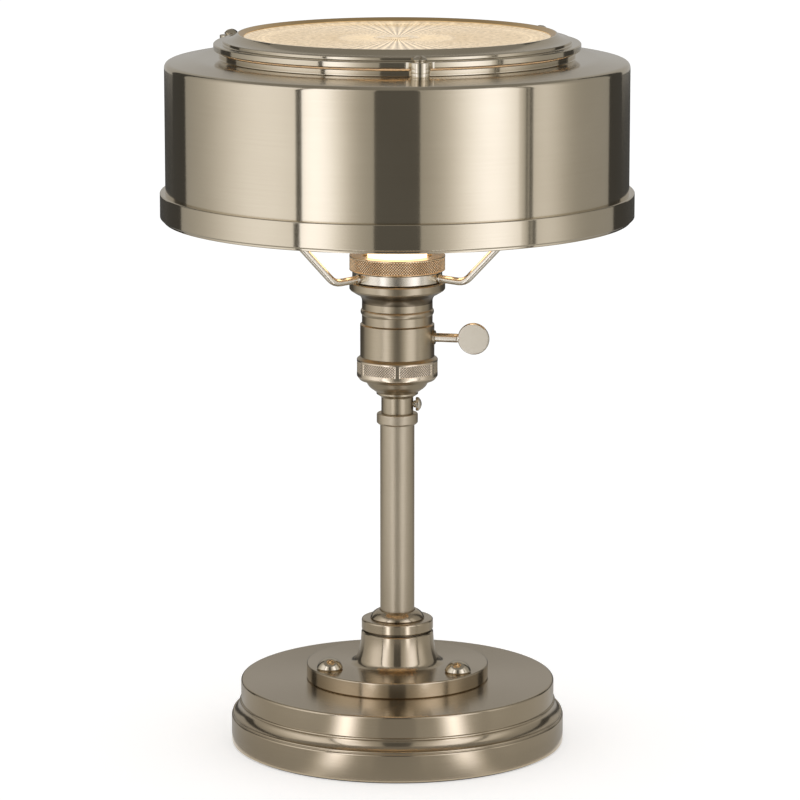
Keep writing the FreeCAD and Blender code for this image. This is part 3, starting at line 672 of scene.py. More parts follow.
class Skin:
    """Makes meshes from grids of points."""

    @staticmethod
    def grid(name: str, points: np.ndarray, wrap_rows: bool, materials: np.ndarray,
             finishes: list[Finish]) -> Piece:
        """Mesh of a grid whose columns always wrap round.

        Args:
            name: the piece's name.
            points: rows x columns x 3, in metres.
            wrap_rows: whether the last row joins the first.
            materials: material index of each row of faces.
            finishes: the finishes that the indices mean.

        Returns:
            The object, at the origin, facing outwards.
        """
        rows, columns = points.shape[:2]
        ids = np.arange(rows * columns).reshape(rows, columns)
        if wrap_rows:
            lower, upper = ids, np.roll(ids, -1, axis=0)
        else:
            lower, upper = ids[:-1], ids[1:]
        faces = np.stack([lower, np.roll(lower, -1, axis=1), np.roll(upper, -1, axis=1), upper],
                         axis=-1)
        index = np.repeat(materials[:len(lower)], columns)
        faces = faces.reshape(-1, 4)
        flat = points.reshape(-1, 3)
        a, b, c, d = (flat[faces[:, k]] for k in range(4))
        volume = np.einsum("ij,ij->i", a, np.cross(b, c)) + np.einsum("ij,ij->i", a, np.cross(c, d))
        if volume.sum() < 0:
            faces = faces[:, ::-1]
        mesh = bpy.data.meshes.new(name)
        mesh.from_pydata(flat.tolist(), [], faces.tolist())
        mesh.polygons.foreach_set("material_index", index.astype(np.int32))
        mesh.polygons.foreach_set("use_smooth", np.ones(len(faces), bool))
        return Skin.finish(name, mesh, finishes)

    @staticmethod
    def finish(name: str, mesh: bpy.types.Mesh, finishes: list[Finish]) -> Piece:
        """Closes poles by merging what coincides, and makes the object."""
        work = bmesh.new()
        work.from_mesh(mesh)
        bmesh.ops.remove_doubles(work, verts=work.verts, dist=MERGE_DISTANCE)
        work.to_mesh(mesh)
        work.free()
        mesh.update()
        for finish in finishes:
            mesh.materials.append(LIBRARY.get(finish))
        return placed(name, mesh)

    @staticmethod
    def joined(name: str, pieces: list[Piece], finish: Finish) -> Piece:
        """One object from several that share a finish."""
        work = bmesh.new()
        for piece in pieces:
            work.from_mesh(piece.data)
            bpy.data.objects.remove(piece)
        mesh = bpy.data.meshes.new(name)
        work.to_mesh(mesh)
        work.free()
        return Skin.finish(name, mesh, [finish])

    @staticmethod
    def carved(piece: Piece, cutter: Piece) -> Piece:
        """Takes a flat-shaded cutter out of a piece and removes the cutter."""
        cutter.data.polygons.foreach_set("use_smooth", np.zeros(len(cutter.data.polygons), bool))
        cut = piece.modifiers.new("cut", "BOOLEAN")
        cut.operation = "DIFFERENCE"
        cut.solver = "EXACT"
        cut.object = cutter
        bpy.context.view_layer.update()
        ready = piece.evaluated_get(bpy.context.evaluated_depsgraph_get())
        mesh = bpy.data.meshes.new_from_object(ready)
        piece.modifiers.clear()
        piece.data = mesh
        bpy.data.objects.remove(cutter)
        return piece

    @staticmethod
    def prism(name: str, plan: np.ndarray, low: float, high: float, rounding: float,
              finish: Finish, place: Place) -> Piece:
        """Upright prism over a closed plan, with rounded edges.

        A row of the side is the plan moved inwards by e (1 - cos t) at the height of e (1 - sin t)
        from the end, with t from 0 to 90 degrees and e the edge's radius, which is small at the
        foot. Two middle points close it.

        Args:
            name: the piece's name.
            plan: points of the plan in order, in millimetres.
            low: height of the underside.
            high: height of the top.
            rounding: radius of the upper edge.
            finish: the finish.
            place: the frame it is made in.

        Returns:
            The object.
        """
        along = np.roll(plan, -1, axis=0) - np.roll(plan, 1, axis=0)
        inward = np.stack([-along[:, 1], along[:, 0]], -1) / np.linalg.norm(along, axis=1)[:, None]
        turn = np.radians(np.linspace(0, 90, 6))
        inset, rise = 1 - np.cos(turn), 1 - np.sin(turn)
        foot = min(0.06, rounding)
        inset = np.concatenate([foot * inset[::-1], rounding * inset])
        height = np.concatenate([low + foot * rise[::-1], high - rounding * rise])
        flat = plan[None] + inward[None] * inset[:, None, None]
        level = np.broadcast_to(height[:, None, None], flat.shape[:2] + (1,))
        rows = np.concatenate([flat, level], -1)
        middle = np.broadcast_to(np.append(plan.mean(axis=0), 0.0), plan.shape[:1] + (3,))
        rows = np.concatenate([[middle + (0, 0, low)], rows, [middle + (0, 0, high)]])
        return Skin.grid(name, place.put(rows * MM), False, np.zeros(len(rows), int), [finish])

    @staticmethod
    def rod(name: str, line: np.ndarray, radius: float, finish: Finish, place: Place) -> Piece:
        """Round rod along a line in the plane of the place's side and axis.

        A point is line(s) + radius (n cos t + m sin t), with n square to the line in that plane
        and m square to the plane. Its ends close on the line.

        Args:
            name: the piece's name.
            line: points as (outwards, up), in metres.
            radius: the rod's radius, in metres.
            finish: the finish.
            place: the frame it is made in.

        Returns:
            The object.
        """
        way = np.gradient(line, axis=0)
        way /= np.linalg.norm(way, axis=1)[:, None]
        path = np.stack([line[:, 0], 0 * line[:, 0], line[:, 1]], -1)[:, None]
        normal = np.stack([-way[:, 1], 0 * way[:, 0], way[:, 0]], -1)[:, None]
        t = np.linspace(0, math.tau, ROD_COLUMNS, endpoint=False)[None, :, None]
        points = path + radius * (normal * np.cos(t) + np.array((0.0, 1.0, 0.0)) * np.sin(t))
        ends = [np.broadcast_to(path[i], points.shape[1:])[None] for i in (0, -1)]
        points = np.concatenate([ends[0], points, ends[1]])
        return Skin.grid(name, place.put(points), False, np.zeros(len(points), int), [finish])

    @staticmethod
    def turned(name: str, corners: list[tuple], columns: int, finishes: list[Finish],
               closed: bool = True, relief: "Relief | None" = None, place: Place = Place(),
               fine: float = 0.0) -> Piece:
        """Surface of revolution, (r cos a, r sin a, z), with an optional relief.

        Args:
            name: the piece's name.
            corners: the values of each Corner of the outline, in order.
            columns: steps round the axis.
            finishes: finishes by material index.
            closed: whether the outline closes on itself; if not, it runs from axis to axis.
            relief: moves (radius, height) at each point.
            place: the frame it is made in.
            fine: if above 0, the longest step along a stretch, in millimetres.

        Returns:
            The object.
        """
        outline = Outline.rounded(corners, closed, fine)
        angle = np.arange(columns) * (2 * np.pi / columns)
        r, a = np.meshgrid(outline.points[:, 0], angle, indexing="ij")
        z = np.broadcast_to(outline.points[:, 1][:, None], r.shape).copy()
        if relief is not None:
            dr, dz = relief.offset(r, z, a)
            r = r + dr
            z = z + dz
        points = np.stack([r * np.cos(a), r * np.sin(a), z], axis=-1)
        return Skin.grid(name, place.put(points), closed, outline.materials, finishes)


def tooth(turns: np.ndarray) -> np.ndarray:
    """Triangle wave of a number of turns: 0 at whole turns and 1 halfway."""
    return 1 - np.abs(2 * (turns - np.floor(turns)) - 1)


@dataclass(frozen=True)
class Relief:
    """Changes the radius and height of a turned surface, point by point."""

    def offset(self, r: np.ndarray, z: np.ndarray, a: np.ndarray) -> tuple[np.ndarray, np.ndarray]:
        """The change of radius and of height, in metres."""
        raise NotImplementedError


@dataclass(frozen=True)
class DiamondKnurl(Relief):
    """Diamond knurl on an upright band, in metres.

    Two families of helical grooves cross: the height is the lesser of the triangle waves of
    n a + z / p and n a - z / p, so that what is left between them is a pyramid. Plain gaps
    interrupt it where the tool was lifted.
    """

    radius: float
    low: float
    high: float
    teeth: int
    depth: float
    slope: float = 1.0
    segments: int = 0
    gap_degrees: float = 0.0
    phase_degrees: float = 0.0

    def offset(self, r: np.ndarray, z: np.ndarray, a: np.ndarray) -> tuple[np.ndarray, np.ndarray]:
        """Pushes the band's surface in between its pyramids."""
        pitch = 2 * math.pi * self.radius / self.teeth * self.slope
        turns = self.teeth * a / (2 * math.pi)
        rise = (z - self.low) / pitch
        height = np.minimum(tooth(turns + rise), tooth(turns - rise))
        on_band = (np.abs(r - self.radius) < 0.02 * MM) & (z > self.low) & (z < self.high)
        edge = np.minimum(z - self.low, self.high - z) / (0.25 * MM)
        share = np.clip(edge, 0, 1) * on_band
        if self.segments:
            step = 360.0 / self.segments
            bearing = np.mod(np.degrees(a) - self.phase_degrees + step / 2, step) - step / 2
            share = share * np.clip((np.abs(bearing) - self.gap_degrees / 2) / 0.8, 0, 1)
        return -self.depth * (1 - height) * share, np.zeros_like(z)


@dataclass(frozen=True)
class PressedRibs(Relief):
    """Radial prisms pressed into the top of the lens, finer in each outer zone.

    In each zone the height falls by depth times the triangle wave of n a, with a shallow ring
    wave along the radius, and it fades out at the zone's two edges.
    """

    top: float
    zones: tuple
    depth: float
    ring_pitch: float

    def offset(self, r: np.ndarray, z: np.ndarray, a: np.ndarray) -> tuple[np.ndarray, np.ndarray]:
        """Lowers the field between its ridges."""
        fall = np.zeros_like(r)
        for inner, outer, count in self.zones:
            inside = (r > inner) & (r < outer)
            fade = np.clip(np.minimum(r - inner, outer - r) / (0.5 * MM), 0, 1)
            ridges = 1 - tooth(count * a / (2 * np.pi))
            rings = 1 - tooth((r - inner) / self.ring_pitch)
            fall = fall + inside * fade * (0.75 * ridges + 0.25 * rings)
        return np.zeros_like(r), -self.depth * fall * (np.abs(z - self.top) < 0.05 * MM)


@dataclass
class Base:
    """The spun base shell, in millimetres."""

    radius: float = 74.5
    disc: float = 70.2
    wall: float = 1.3
    edge: float = 0.6
    step: float = 13.0
    top: float = 28.9
    bore: float = 5.0
    inlet_radius: float = 4.0
    inlet_height: float = 7.0
    columns: int = 448

    def cover(self) -> Piece:
        """Tall lower ring, two beads, hollow step and disc, with the hole for the inlet."""
        r, d, step, top = self.radius, self.disc, self.step, self.top
        corners = [
            (self.bore, top), (d - 1.0, top, 0.05, 0, (d - 0.3, top - 0.3)), (d, top - 1.0),
            (d, step + 6.4, 0.1, 0, (d + 0.7, step + 5.8)),
            (d + 0.2, step + 5.1, 0.1, 0, (d + 1.1, step + 2.5)),
            (r - 1.3, step + 1.1, 0.1, 0, (r - 0.5, step + 0.75)),
            (r - 0.8, step + 0.1, 0.1, 0, (r - 0.2, step - 0.2)), (r, step - 0.9),
            (r, self.edge + 0.6, 0, 0, (r - 0.2, self.edge + 0.15)), (r - 0.6, self.edge),
            (r - self.wall, self.edge), (r - self.wall, step - 1.4), (d - self.wall, step + 4.0),
            (d - self.wall, top - self.wall), (self.bore, top - self.wall)]
        cover = Skin.turned("base_shell", corners, self.columns, [BASE_NICKEL])
        hole = [(0, 60), (self.inlet_radius, 60), (self.inlet_radius, 90), (0, 90)]
        cutter = Skin.turned("inlet_cutter", hole, CUTTER_COLUMNS, [BASE_NICKEL], False,
                             place=Place((0, 0, self.inlet_height), (0, 1, 0), (0, 0, 1)))
        return Skin.carved(cover, cutter)

    def build(self) -> list[Piece]:
        """Makes the base shell."""
        return [settle(self.cover(), "stand", "satin_nickel", "base_cover")]


@dataclass
class Stem:
    """Flange with its hub and screws, collars and tube, in millimetres."""

    radius: float = 7.63
    flange: float = 40.7
    flange_low: float = 28.9
    flange_top: float = 36.0
    hub: float = 16.1
    hub_top: float = 50.5
    collar: float = 51.3
    collar_top: float = 56.2
    top: float = 147.0
    neck: float = 149.7
    bore: float = 5.0
    wall: float = 1.4
    cap_radius: float = 9.15
    cap_low: float = 144.8
    cap_bore: float = 4.9
    screw_radius: float = 5.85
    screw_pitch: float = 33.1
    screw_bearings: tuple = (84.5, 204.5, 324.5)
    columns: int = 256

    def hub_flange(self) -> Piece:
        """Round flange whose hub flares into it."""
        f, h, low, top = self.flange, self.hub, self.flange_low, self.flange_top
        corners = [
            (self.bore, low), (f - 0.5, low, 0.1), (f, low + 0.5, 0.2),
            (f, top - 0.7, 0, 0, (f - 0.2, top - 0.2)), (f - 0.7, top),
            (h + 5.6, top, 0.3, 0, (h + 3.6, top + 0.55)),
            (h + 2.1, top + 2.4, 0.3, 0, (h + 0.6, top + 7.8)), (h, self.hub_top - 0.5, 0.15),
            (h - 0.5, self.hub_top, 0.15, 1), (h - 1.4, self.hub_top, 0, 1),
            (h - 1.4, self.collar), (self.bore, self.collar)]
        # The hub's top in the groove under the ring takes the dark nickel: painted shade.
        return Skin.turned("hub_flange", corners, self.columns, [BASE_NICKEL, RECESS_PAINTED_SHADE])

    def hub_ring(self) -> Piece:
        """Plain ring above the groove."""
        edge, low, top = self.hub - 0.1, self.collar, self.collar_top
        corners = [
            (self.radius, low), (edge - 0.4, low, 0.1), (edge, low + 0.4, 0.15),
            (edge, top - 0.8, 0, 0, (edge - 0.25, top - 0.25)), (edge - 0.8, top, 0.05),
            (self.radius, top)]
        return Skin.turned("hub_ring", corners, self.columns, [BASE_NICKEL])

    def dome_ring(self) -> Piece:
        """Domed ring round the foot of the tube."""
        low = self.collar_top
        corners = [
            (self.radius, low), (11.8, low, 0.1), (12.1, low + 0.3, 0.15),
            (12.0, low + 0.7, 0.1, 0, (10.9, low + 2.3)), (8.7, low + 3.7, 0.15),
            (8.08, low + 3.8, 0.15), (self.radius, low + 3.3)]
        return Skin.turned("dome_ring", corners, self.columns, [BASE_NICKEL])

    def tube(self) -> Piece:
        """Plain tube."""
        inner = self.radius - self.wall
        corners = [
            (inner, self.collar), (self.radius, self.collar), (self.radius, self.top),
            (inner, self.top)]
        return Skin.turned("plain_tube", corners, self.columns, [STEM_NICKEL])

    def top_ring(self) -> Piece:
        """Ring that caps the tube."""
        edge, low = self.cap_radius, self.cap_low
        corners = [
            (self.radius, low), (edge - 0.7, low, 0.2), (edge, low + 0.7, 0.4),
            (edge, self.neck - 0.7, 0, 0, (edge - 0.2, self.neck - 0.2)), (edge - 0.7, self.neck),
            (self.cap_bore, self.neck), (self.cap_bore, self.top), (self.radius, self.top)]
        return Skin.turned("tube_top_ring", corners, self.columns, [STEM_NICKEL])

    def screws(self) -> Piece:
        """Three dome heads, seated a little into the flange."""
        r, low = self.screw_radius, self.flange_top
        corners = [
            (0, low - 0.1), (r - 0.3, low - 0.1), (r - 0.3, low, 0.1),
            (r, low + 0.6, 0.15, 0, dome(r, low + 0.6, 4.4)), (0, low + 5.0)]
        heads = [Skin.turned("dome_head", corners, 72, [SCREW_NICKEL], False,
                             place=Place.upright(self.screw_pitch, bearing))
                 for bearing in self.screw_bearings]
        return Skin.joined("dome_screws", heads, SCREW_NICKEL)

    def build(self) -> list[Piece]:
        """Makes the pieces from the flange up to the lampholder's neck."""
        pieces = {"stem_flange": self.hub_flange(), "hub_collar": self.hub_ring(),
                  "dome_collar": self.dome_ring(), "stem_tube": self.tube(),
                  "stem_top_collar": self.top_ring(), "flange_screws": self.screws()}
        return [settle(piece, "stand", "satin_nickel", node) for node, piece in pieces.items()]


@dataclass
class Shade:
    """The drum shade with its band and spider, in millimetres."""

    radius: float = 101.9
    wall: float = 1.2
    low: float = 236.8
    lip: float = 1.0
    shoulder: float = 306.03
    top: float = 308.0
    slope_radius: float = 88.0
    neck_radius: float = 77.9
    neck_top: float = 310.7
    band_radius: float = 104.3
    band_low: float = 237.9
    band_top: float = 249.3
    spider_bore: float = 17.38
    spider_radius: float = 19.9
    spider_low: float = 209.2
    spider_top: float = 213.8
    arm_radius: float = 1.7
    arm_height: float = 211.5
    arm_bend: tuple = (33.0, 210.6, 7.0)
    arm_slope: float = 46.0
    arm_end: float = 99.9
    arm_bearings: tuple = (93.5, 213.5, 333.5)
    columns: int = 512

    def shell(self) -> Piece:
        """Spun drum with its shoulder, top and neck, enamelled inside."""
        inner = self.radius - self.wall
        neck = self.neck_radius - 1.0
        under = self.top - self.wall
        corners = [
            (inner, self.low, 0.3), (self.radius + self.lip, self.low, 0.45),
            (self.radius + self.lip, self.band_low), (self.radius, self.band_low),
            (self.radius, self.shoulder, 2.6), (self.slope_radius, self.top, 30.0),
            (self.neck_radius, self.top, 0.6), (self.neck_radius, self.neck_top, 0.45),
            (neck, self.neck_top, 0.45), (neck, under, 0.3, 1), (self.slope_radius, under, 0, 1),
            (inner, self.shoulder - self.wall, 1.6, 1)]
        return Skin.turned("shade_shell", corners, self.columns, [SATIN, ENAMEL], fine=4.0)

    def band(self) -> Piece:
        """Ring round the lower edge."""
        seat, edge, low, top = self.radius - 0.05, self.band_radius, self.band_low, self.band_top
        corners = [
            (seat, low), (edge - 0.6, low, 0.15), (edge, low + 0.6, 0.2),
            (edge, top - 0.8, 0, 0, (edge - 0.2, top - 0.2)), (edge - 0.8, top), (seat, top)]
        return Skin.turned("lower_band", corners, self.columns, [SATIN])

    def spider(self) -> Piece:
        """Plain ring that the rods meet."""
        corners = [
            (self.spider_bore, self.spider_low), (self.spider_radius, self.spider_low, 0.5),
            (self.spider_radius, self.spider_top, 0.5), (self.spider_bore, self.spider_top)]
        return Skin.turned("spider_hub", corners, HOLDER_COLUMNS, [PALE])

    def arm(self, number: int, bearing: float) -> Piece:
        """Bent rod with the weld nub at its root."""
        corner, height, bend = self.arm_bend
        rise = (self.arm_end - corner) * math.tan(math.radians(self.arm_slope))
        start = self.spider_radius - 1.0
        path = Outline.rounded([
            (start, self.arm_height), (corner, height, bend),
            (self.arm_end, height + rise)], closed=False, fine=4.0)
        rod = Skin.rod("rod", path.points, self.arm_radius * MM, PALE, Place.upright(0, bearing))
        weld = [(0, start), (2.0, start), (2.0, start + 2.5, 0.5), (0, start + 2.5)]
        nub = Skin.turned("nub", weld, ROD_COLUMNS, [PALE], False,
                          place=Place.outward(bearing, self.arm_height))
        return Skin.joined("spider_rod_" + str(number), [rod, nub], PALE)

    def build(self) -> list[Piece]:
        """Makes the shade's own pieces."""
        made = [settle(self.shell(), "shade", "satin_nickel", "shade_drum", "shade_top"),
                settle(self.band(), "shade", "satin_nickel", "shade_band"),
                settle(self.spider(), "shade", "pale_nickel", "spider_ring")]
        for number, bearing in enumerate(self.arm_bearings, start=1):
            rod = self.arm(number, bearing)
            made.append(settle(rod, "shade", "pale_nickel", "spider_arm_" + str(number)))
        return made


@dataclass
class Bezel:
    """The stepped ring that holds the lens, with its lugs, spacers and screws, in millimetres."""

    low: float = 311.6
    radius: float = 80.4
    lip: float = 78.2
    step: float = 76.3
    top: float = 318.6
    glass: float = 68.5
    seat: float = 317.1
    lug_pitch: float = 81.0
    lug_radius: float = 4.5
    lug_fillet: float = 2.0
    lug_low: float = 310.0
    lug_top: float = 314.52
    spacer_radius: float = 4.3
    spacer_low: float = 308.0
    spacer_cut: float = 78.5
    screw_pitch: float = 80.2
    screw_radius: float = 3.15
    bearings: tuple = (36.8, 156.8, 276.8)
    columns: int = 512

    def ring(self) -> Piece:
        """Flange, upright step, hollow curve and rim."""
        low, top, step = self.low, self.top, self.step
        corners = [
            (self.glass, low), (self.glass + 1.9, low), (self.glass + 1.9, low + 1.4),
            (self.lip, low + 1.4), (self.lip, low), (self.radius - 0.4, low, 0.1),
            (self.radius, low + 0.4, 0.15), (self.radius, low + 2.5, 0.15),
            (self.radius - 0.4, low + 2.9, 0.1),
            (step + 0.7, low + 2.9, 0, 0, (step + 0.2, low + 3.0)), (step, low + 3.4),
            (step, low + 3.9, 0, 0, (step - 0.1, low + 4.25)),
            (step - 0.4, low + 4.4, 0.05, 0, (72.3, low + 5.25)), (70.2, top - 0.3, 0.1),
            (69.9, top, 0.1), (69.3, top, 0.15, 1), (67.0, top - 1.2, 0.2, 1), (67.0, self.seat),
            (self.glass, self.seat)]
        # The rim's top edge and inner wall take the warm nickel: painted reflection of the lit
        # glass.
        return Skin.turned("lens_bezel", corners, self.columns, [SATIN, RIM_PAINTED_REFLECTION])

    def lug_plan(self) -> np.ndarray:
        """Plan of a lug whose rounds touch the ring's circle and its own circle from outside.

        The round's centre is at x = (R^2 - r^2 + p^2) / 2 p, with R and r the two radii plus the
        round's and p the lug's pitch radius.

        Returns:
            The plan in millimetres, with x pointing outwards.
        """
        ring, lug = self.radius + self.lug_fillet, self.lug_radius + self.lug_fillet
        x = (ring ** 2 - lug ** 2 + self.lug_pitch ** 2) / (2 * self.lug_pitch)
        centre = np.array((x, math.sqrt(ring ** 2 - x ** 2)))
        post = np.array((self.lug_pitch, 0.0))
        a = centre * (self.radius / ring)
        b = post + (centre - post) * (self.lug_radius / lug)
        way = (a + b) / 2 - centre
        m = centre + way / np.linalg.norm(way) * self.lug_fillet
        inner = self.lip + 0.4
        plan = Outline.rounded([
            (inner, -a[1]), (a[0], -a[1], 0, 0, (m[0], -m[1])),
            (b[0], -b[1], 0, 0, (self.lug_pitch + self.lug_radius, 0.0)),
            (b[0], b[1], 0, 0, (m[0], m[1])), (a[0], a[1]), (inner, a[1])], fine=0.5)
        return plan.points / MM

    def cut_circle(self, radius: float, chord: float) -> np.ndarray:
        """Plan of a post whose side towards the axis is cut off straight."""
        half = math.sqrt(radius ** 2 - (self.lug_pitch - chord) ** 2)
        plan = Outline.rounded([
            (chord, -half, 0, 0, (self.lug_pitch + radius, 0.0)), (chord, half)], fine=0.5)
        return plan.points / MM

    def lug(self, number: int, bearing: float) -> Piece:
        """Lug with its rounds, and its foot below the ring's flange."""
        place = Place.upright(0, bearing)
        plate = Skin.prism("plate", self.lug_plan(), self.low, self.lug_top, 0.3, SCREW_NICKEL,
                           place)
        foot = Skin.prism("foot", self.cut_circle(self.lug_radius, self.lip), self.lug_low,
                          self.low + 0.05, 0.02, SCREW_NICKEL, place)
        return Skin.joined("bezel_lug_" + str(number), [plate, foot], SCREW_NICKEL)

    def spacers(self) -> Piece:
        """Three posts between the shade's top and the lugs."""
        plan = self.cut_circle(self.spacer_radius, self.spacer_cut)
        posts = [Skin.prism("post", plan, self.spacer_low, self.lug_low, 0.15, SCREW_NICKEL,
                            Place.upright(0, bearing)) for bearing in self.bearings]
        return Skin.joined("lug_spacers", posts, SCREW_NICKEL)

    def screw(self, bearing: float) -> Piece:
        """Slotted round head on its washer."""
        r, low = self.screw_radius, self.lug_top - 0.02
        corners = [
            (0, low - 0.1), (r - 0.5, low - 0.1), (r - 0.5, low + 0.4, 0.05),
            (r - 0.2, low + 0.45, 0.1), (r, low + 0.9, 0.15, 0, dome(r, low + 0.9, 1.8)),
            (0, low + 2.7)]
        head = Skin.turned("head", corners, SMALL_COLUMNS, [SCREW_NICKEL], False,
                           place=Place.upright(self.screw_pitch, bearing))
        slot = np.array([(-4.0, -0.6), (4.0, -0.6), (4.0, 0.6), (-4.0, 0.6)])
        cutter = Skin.prism("slot_cutter", slot, low + 1.3, low + 4.0, 0.01, SCREW_NICKEL,
                            Place.upright(self.screw_pitch, bearing))
        return Skin.carved(head, cutter)

    def build(self) -> list[Piece]:
        """Makes the ring and what fastens it."""
        made = [settle(self.ring(), "shade", "satin_nickel", "lens_ring"),
                settle(self.spacers(), "shade", "satin_nickel", "ring_spacers")]
        for number, bearing in enumerate(self.bearings, start=1):
            made.append(settle(self.lug(number, bearing), "shade", "satin_nickel"))
        heads = Skin.joined("lug_screws", [self.screw(b) for b in self.bearings], SCREW_NICKEL)
        return made + [settle(heads, "shade", "satin_nickel", "ring_screws")]


@dataclass
class Lens:
    """The pressed glass on top, in millimetres."""

    radius: float = 68.4
    low: float = 313.0
    top: float = 317.0
    field: float = 65.2
    button: float = 5.4
    collar: float = 9.2
    sink: float = 0.5
    rib_depth: float = 0.28
    columns: int = 864

    def glass(self) -> Piece:
        """Ribbed disc with a raised rim and a button in the middle."""
        deck = self.top - self.sink
        corners = [
            (0, self.low), (self.radius, self.low, 0.4), (self.radius, self.top, 0.3),
            (self.field + 1.2, self.top, 0.3), (self.field, deck, 0.3, 0, None, 1.3),
            (self.collar + 0.4, deck, 0.1), (self.collar, deck + 0.3, 0.1),
            (self.button + 0.5, deck + 0.3, 0.15), (self.button, self.top + 0.1, 0.2),
            (0, self.top + 0.1)]
        ribs = PressedRibs(deck * MM, ((9.9 * MM, 25 * MM, 72), (25 * MM, 45 * MM, 144),
                                       (45 * MM, 64.8 * MM, 216)), self.rib_depth * MM, 2.3 * MM)
        return Skin.turned("ribbed_lens", corners, self.columns, [FINISHES["lens"]], False, ribs,
                           fine=9.0)

    def build(self) -> list[Piece]:
        """Makes the glass."""
        return [settle(self.glass(), "shade", "lens", "lens_glass")]


@dataclass
class Lampholder:
    """Cap, shell, seat and clamp ring, with the knob and thumb screw, in millimetres."""

    ring_radius: float = 21.2
    ring_low: float = 214.1
    ring_top: float = 220.7
    ring_bore: float = 17.38
    ring_mouth: float = 15.7
    ring_teeth: int = 108
    ring_depth: float = 0.42
    cap_radius: float = 17.95
    cap_top: float = 175.4
    cap_teeth: int = 96
    cap_depth: float = 0.34
    cap_segments: int = 6
    samples: int = 8
    shell_radius: float = 16.45
    shell_step: float = 0.8
    shell_wall: float = 0.6
    shell_top: float = 203.2
    seat_radius: float = 21.2
    seat_top: float = 209.0
    sleeve_radius: float = 17.3
    sleeve_bore: float = 15.1
    sleeve_top: float = 219.2
    knob_bearing: float = -12.0
    knob_height: float = 184.2
    knob_radius: float = 7.1
    knob_reach: float = 34.4
    knob_half: float = 1.2
    knob_hole: float = 3.1
    shank_radius: float = 2.0
    thumb_height: float = 153.6
    thumb_radius: float = 3.1

    def clamp_ring(self) -> Piece:
        """Ring with a diamond knurl and a turned mouth."""
        bore, r, low, top = self.ring_bore, self.ring_radius, self.ring_low, self.ring_top
        corners = [
            (bore, low), (r, low, 0.25, 1, None, 0.17), (r, top, 0.3), (self.ring_mouth, top, 0.2),
            (15.3, top - 0.5, 0.1), (15.3, 219.4), (bore, 219.4)]
        knurl = DiamondKnurl(r * MM, (low + 0.3) * MM, (top - 0.5) * MM, self.ring_teeth,
                             self.ring_depth * MM)
        # Bright orange nickel on the ring's knurl: painted reflection of the warm glow inside the
        # shade, with painted shade in its grooves.
        grooves = Knurled("ring_knurl_painted_glow", light=(0.95, 0.72, 0.46), roughness=0.16,
                          radius=r * MM, depth=self.ring_depth * MM)
        return Skin.turned("knurled_clamp_ring", corners, self.ring_teeth * self.samples,
                           [SHELL_NICKEL, grooves], relief=knurl, fine=3.0)

    def cap(self) -> Piece:
        """Bowl-shaped cap with a knurled band in six stretches."""
        r, top = self.cap_radius, self.cap_top
        corners = [
            (4.9, 149.7), (7.1, 149.7, 0.15), (7.1, 157.0, 0.5), (9.3, 158.4, 0.35),
            (9.2, 159.2, 0.3), (12.6, 161.6, 5.0), (14.3, 164.75, 0.5), (16.6, 164.85, 0.8),
            (r, 166.6, 1.0, 1, None, 0.22), (r, 174.2, 0.6), (16.5, top, 0.3), (15.4, top),
            (15.4, 167.0), (8.3, 161.0), (4.9, 161.0)]
        knurl = DiamondKnurl(r * MM, 168.2 * MM, 173.4 * MM, self.cap_teeth, self.cap_depth * MM,
                             1.0, self.cap_segments, 6.0, -90.0)
        # The cap's knurl has painted shade in its grooves.
        grooves = Knurled("cap_knurl", light=(0.72, 0.61, 0.46), roughness=0.18,
                          groove_painted_shade=(0.07, 0.045, 0.025), radius=r * MM, depth=self.cap_depth * MM)
        return Skin.turned("knurled_cap", corners, self.cap_teeth * self.samples,
                           [SHELL_NICKEL, grooves], relief=knurl, fine=3.0)

    def shell(self) -> Piece:
        """Plain lower part, step, bead and flared mouth, with the hole for the knob's bushing."""
        r, low, top = self.shell_radius, self.cap_top, self.shell_top
        upper, inner = r - self.shell_step, r - self.shell_step - self.shell_wall
        corners = [
            (r, low), (r, 189.7, 0.15), (upper, 190.3, 0.15),
            (upper, 194.0, 0.1, 0, (upper + 0.6, 195.4)), (upper, 196.8, 0.1),
            (upper, 199.7, 0.1, 1, (upper + 0.4, 201.8)), (upper + 1.8, top), (inner, top),
            (inner, low)]
        # The flared mouth under the seat takes the dark nickel: painted shade.
        shell = Skin.turned("holder_shell", corners, HOLDER_COLUMNS, [SHELL_NICKEL, RECESS_PAINTED_SHADE],
                            fine=3.0)
        hole = [(0, 8), (self.knob_hole, 8), (self.knob_hole, 30), (0, 30)]
        cutter = Skin.turned("bushing_cutter", hole, CUTTER_COLUMNS, [SHELL_NICKEL], False,
                             place=Place.outward(self.knob_bearing, self.knob_height))
        return Skin.carved(shell, cutter)

    def seat(self) -> Piece:
        """Wide seat under the spider, with its sleeve."""
        r, bore, low, top = self.seat_radius, self.sleeve_bore, self.shell_top, self.seat_top
        corners = [
            (bore, low), (17.6, low, 0, 1), (18.4, low + 0.4, 0.3, 1), (r - 0.5, low + 1.8, 0.5),
            (r, low + 2.5, 0.3), (r, top - 0.5, 0.2), (r - 0.4, top, 0.2),
            (self.sleeve_radius, top), (self.sleeve_radius, self.sleeve_top),
            (bore, self.sleeve_top)]
        # The seat's underside over the shell's mouth takes the dark nickel: painted shade.
        return Skin.turned("seat_ring", corners, HOLDER_COLUMNS, [SHELL_NICKEL, RECESS_PAINTED_SHADE])

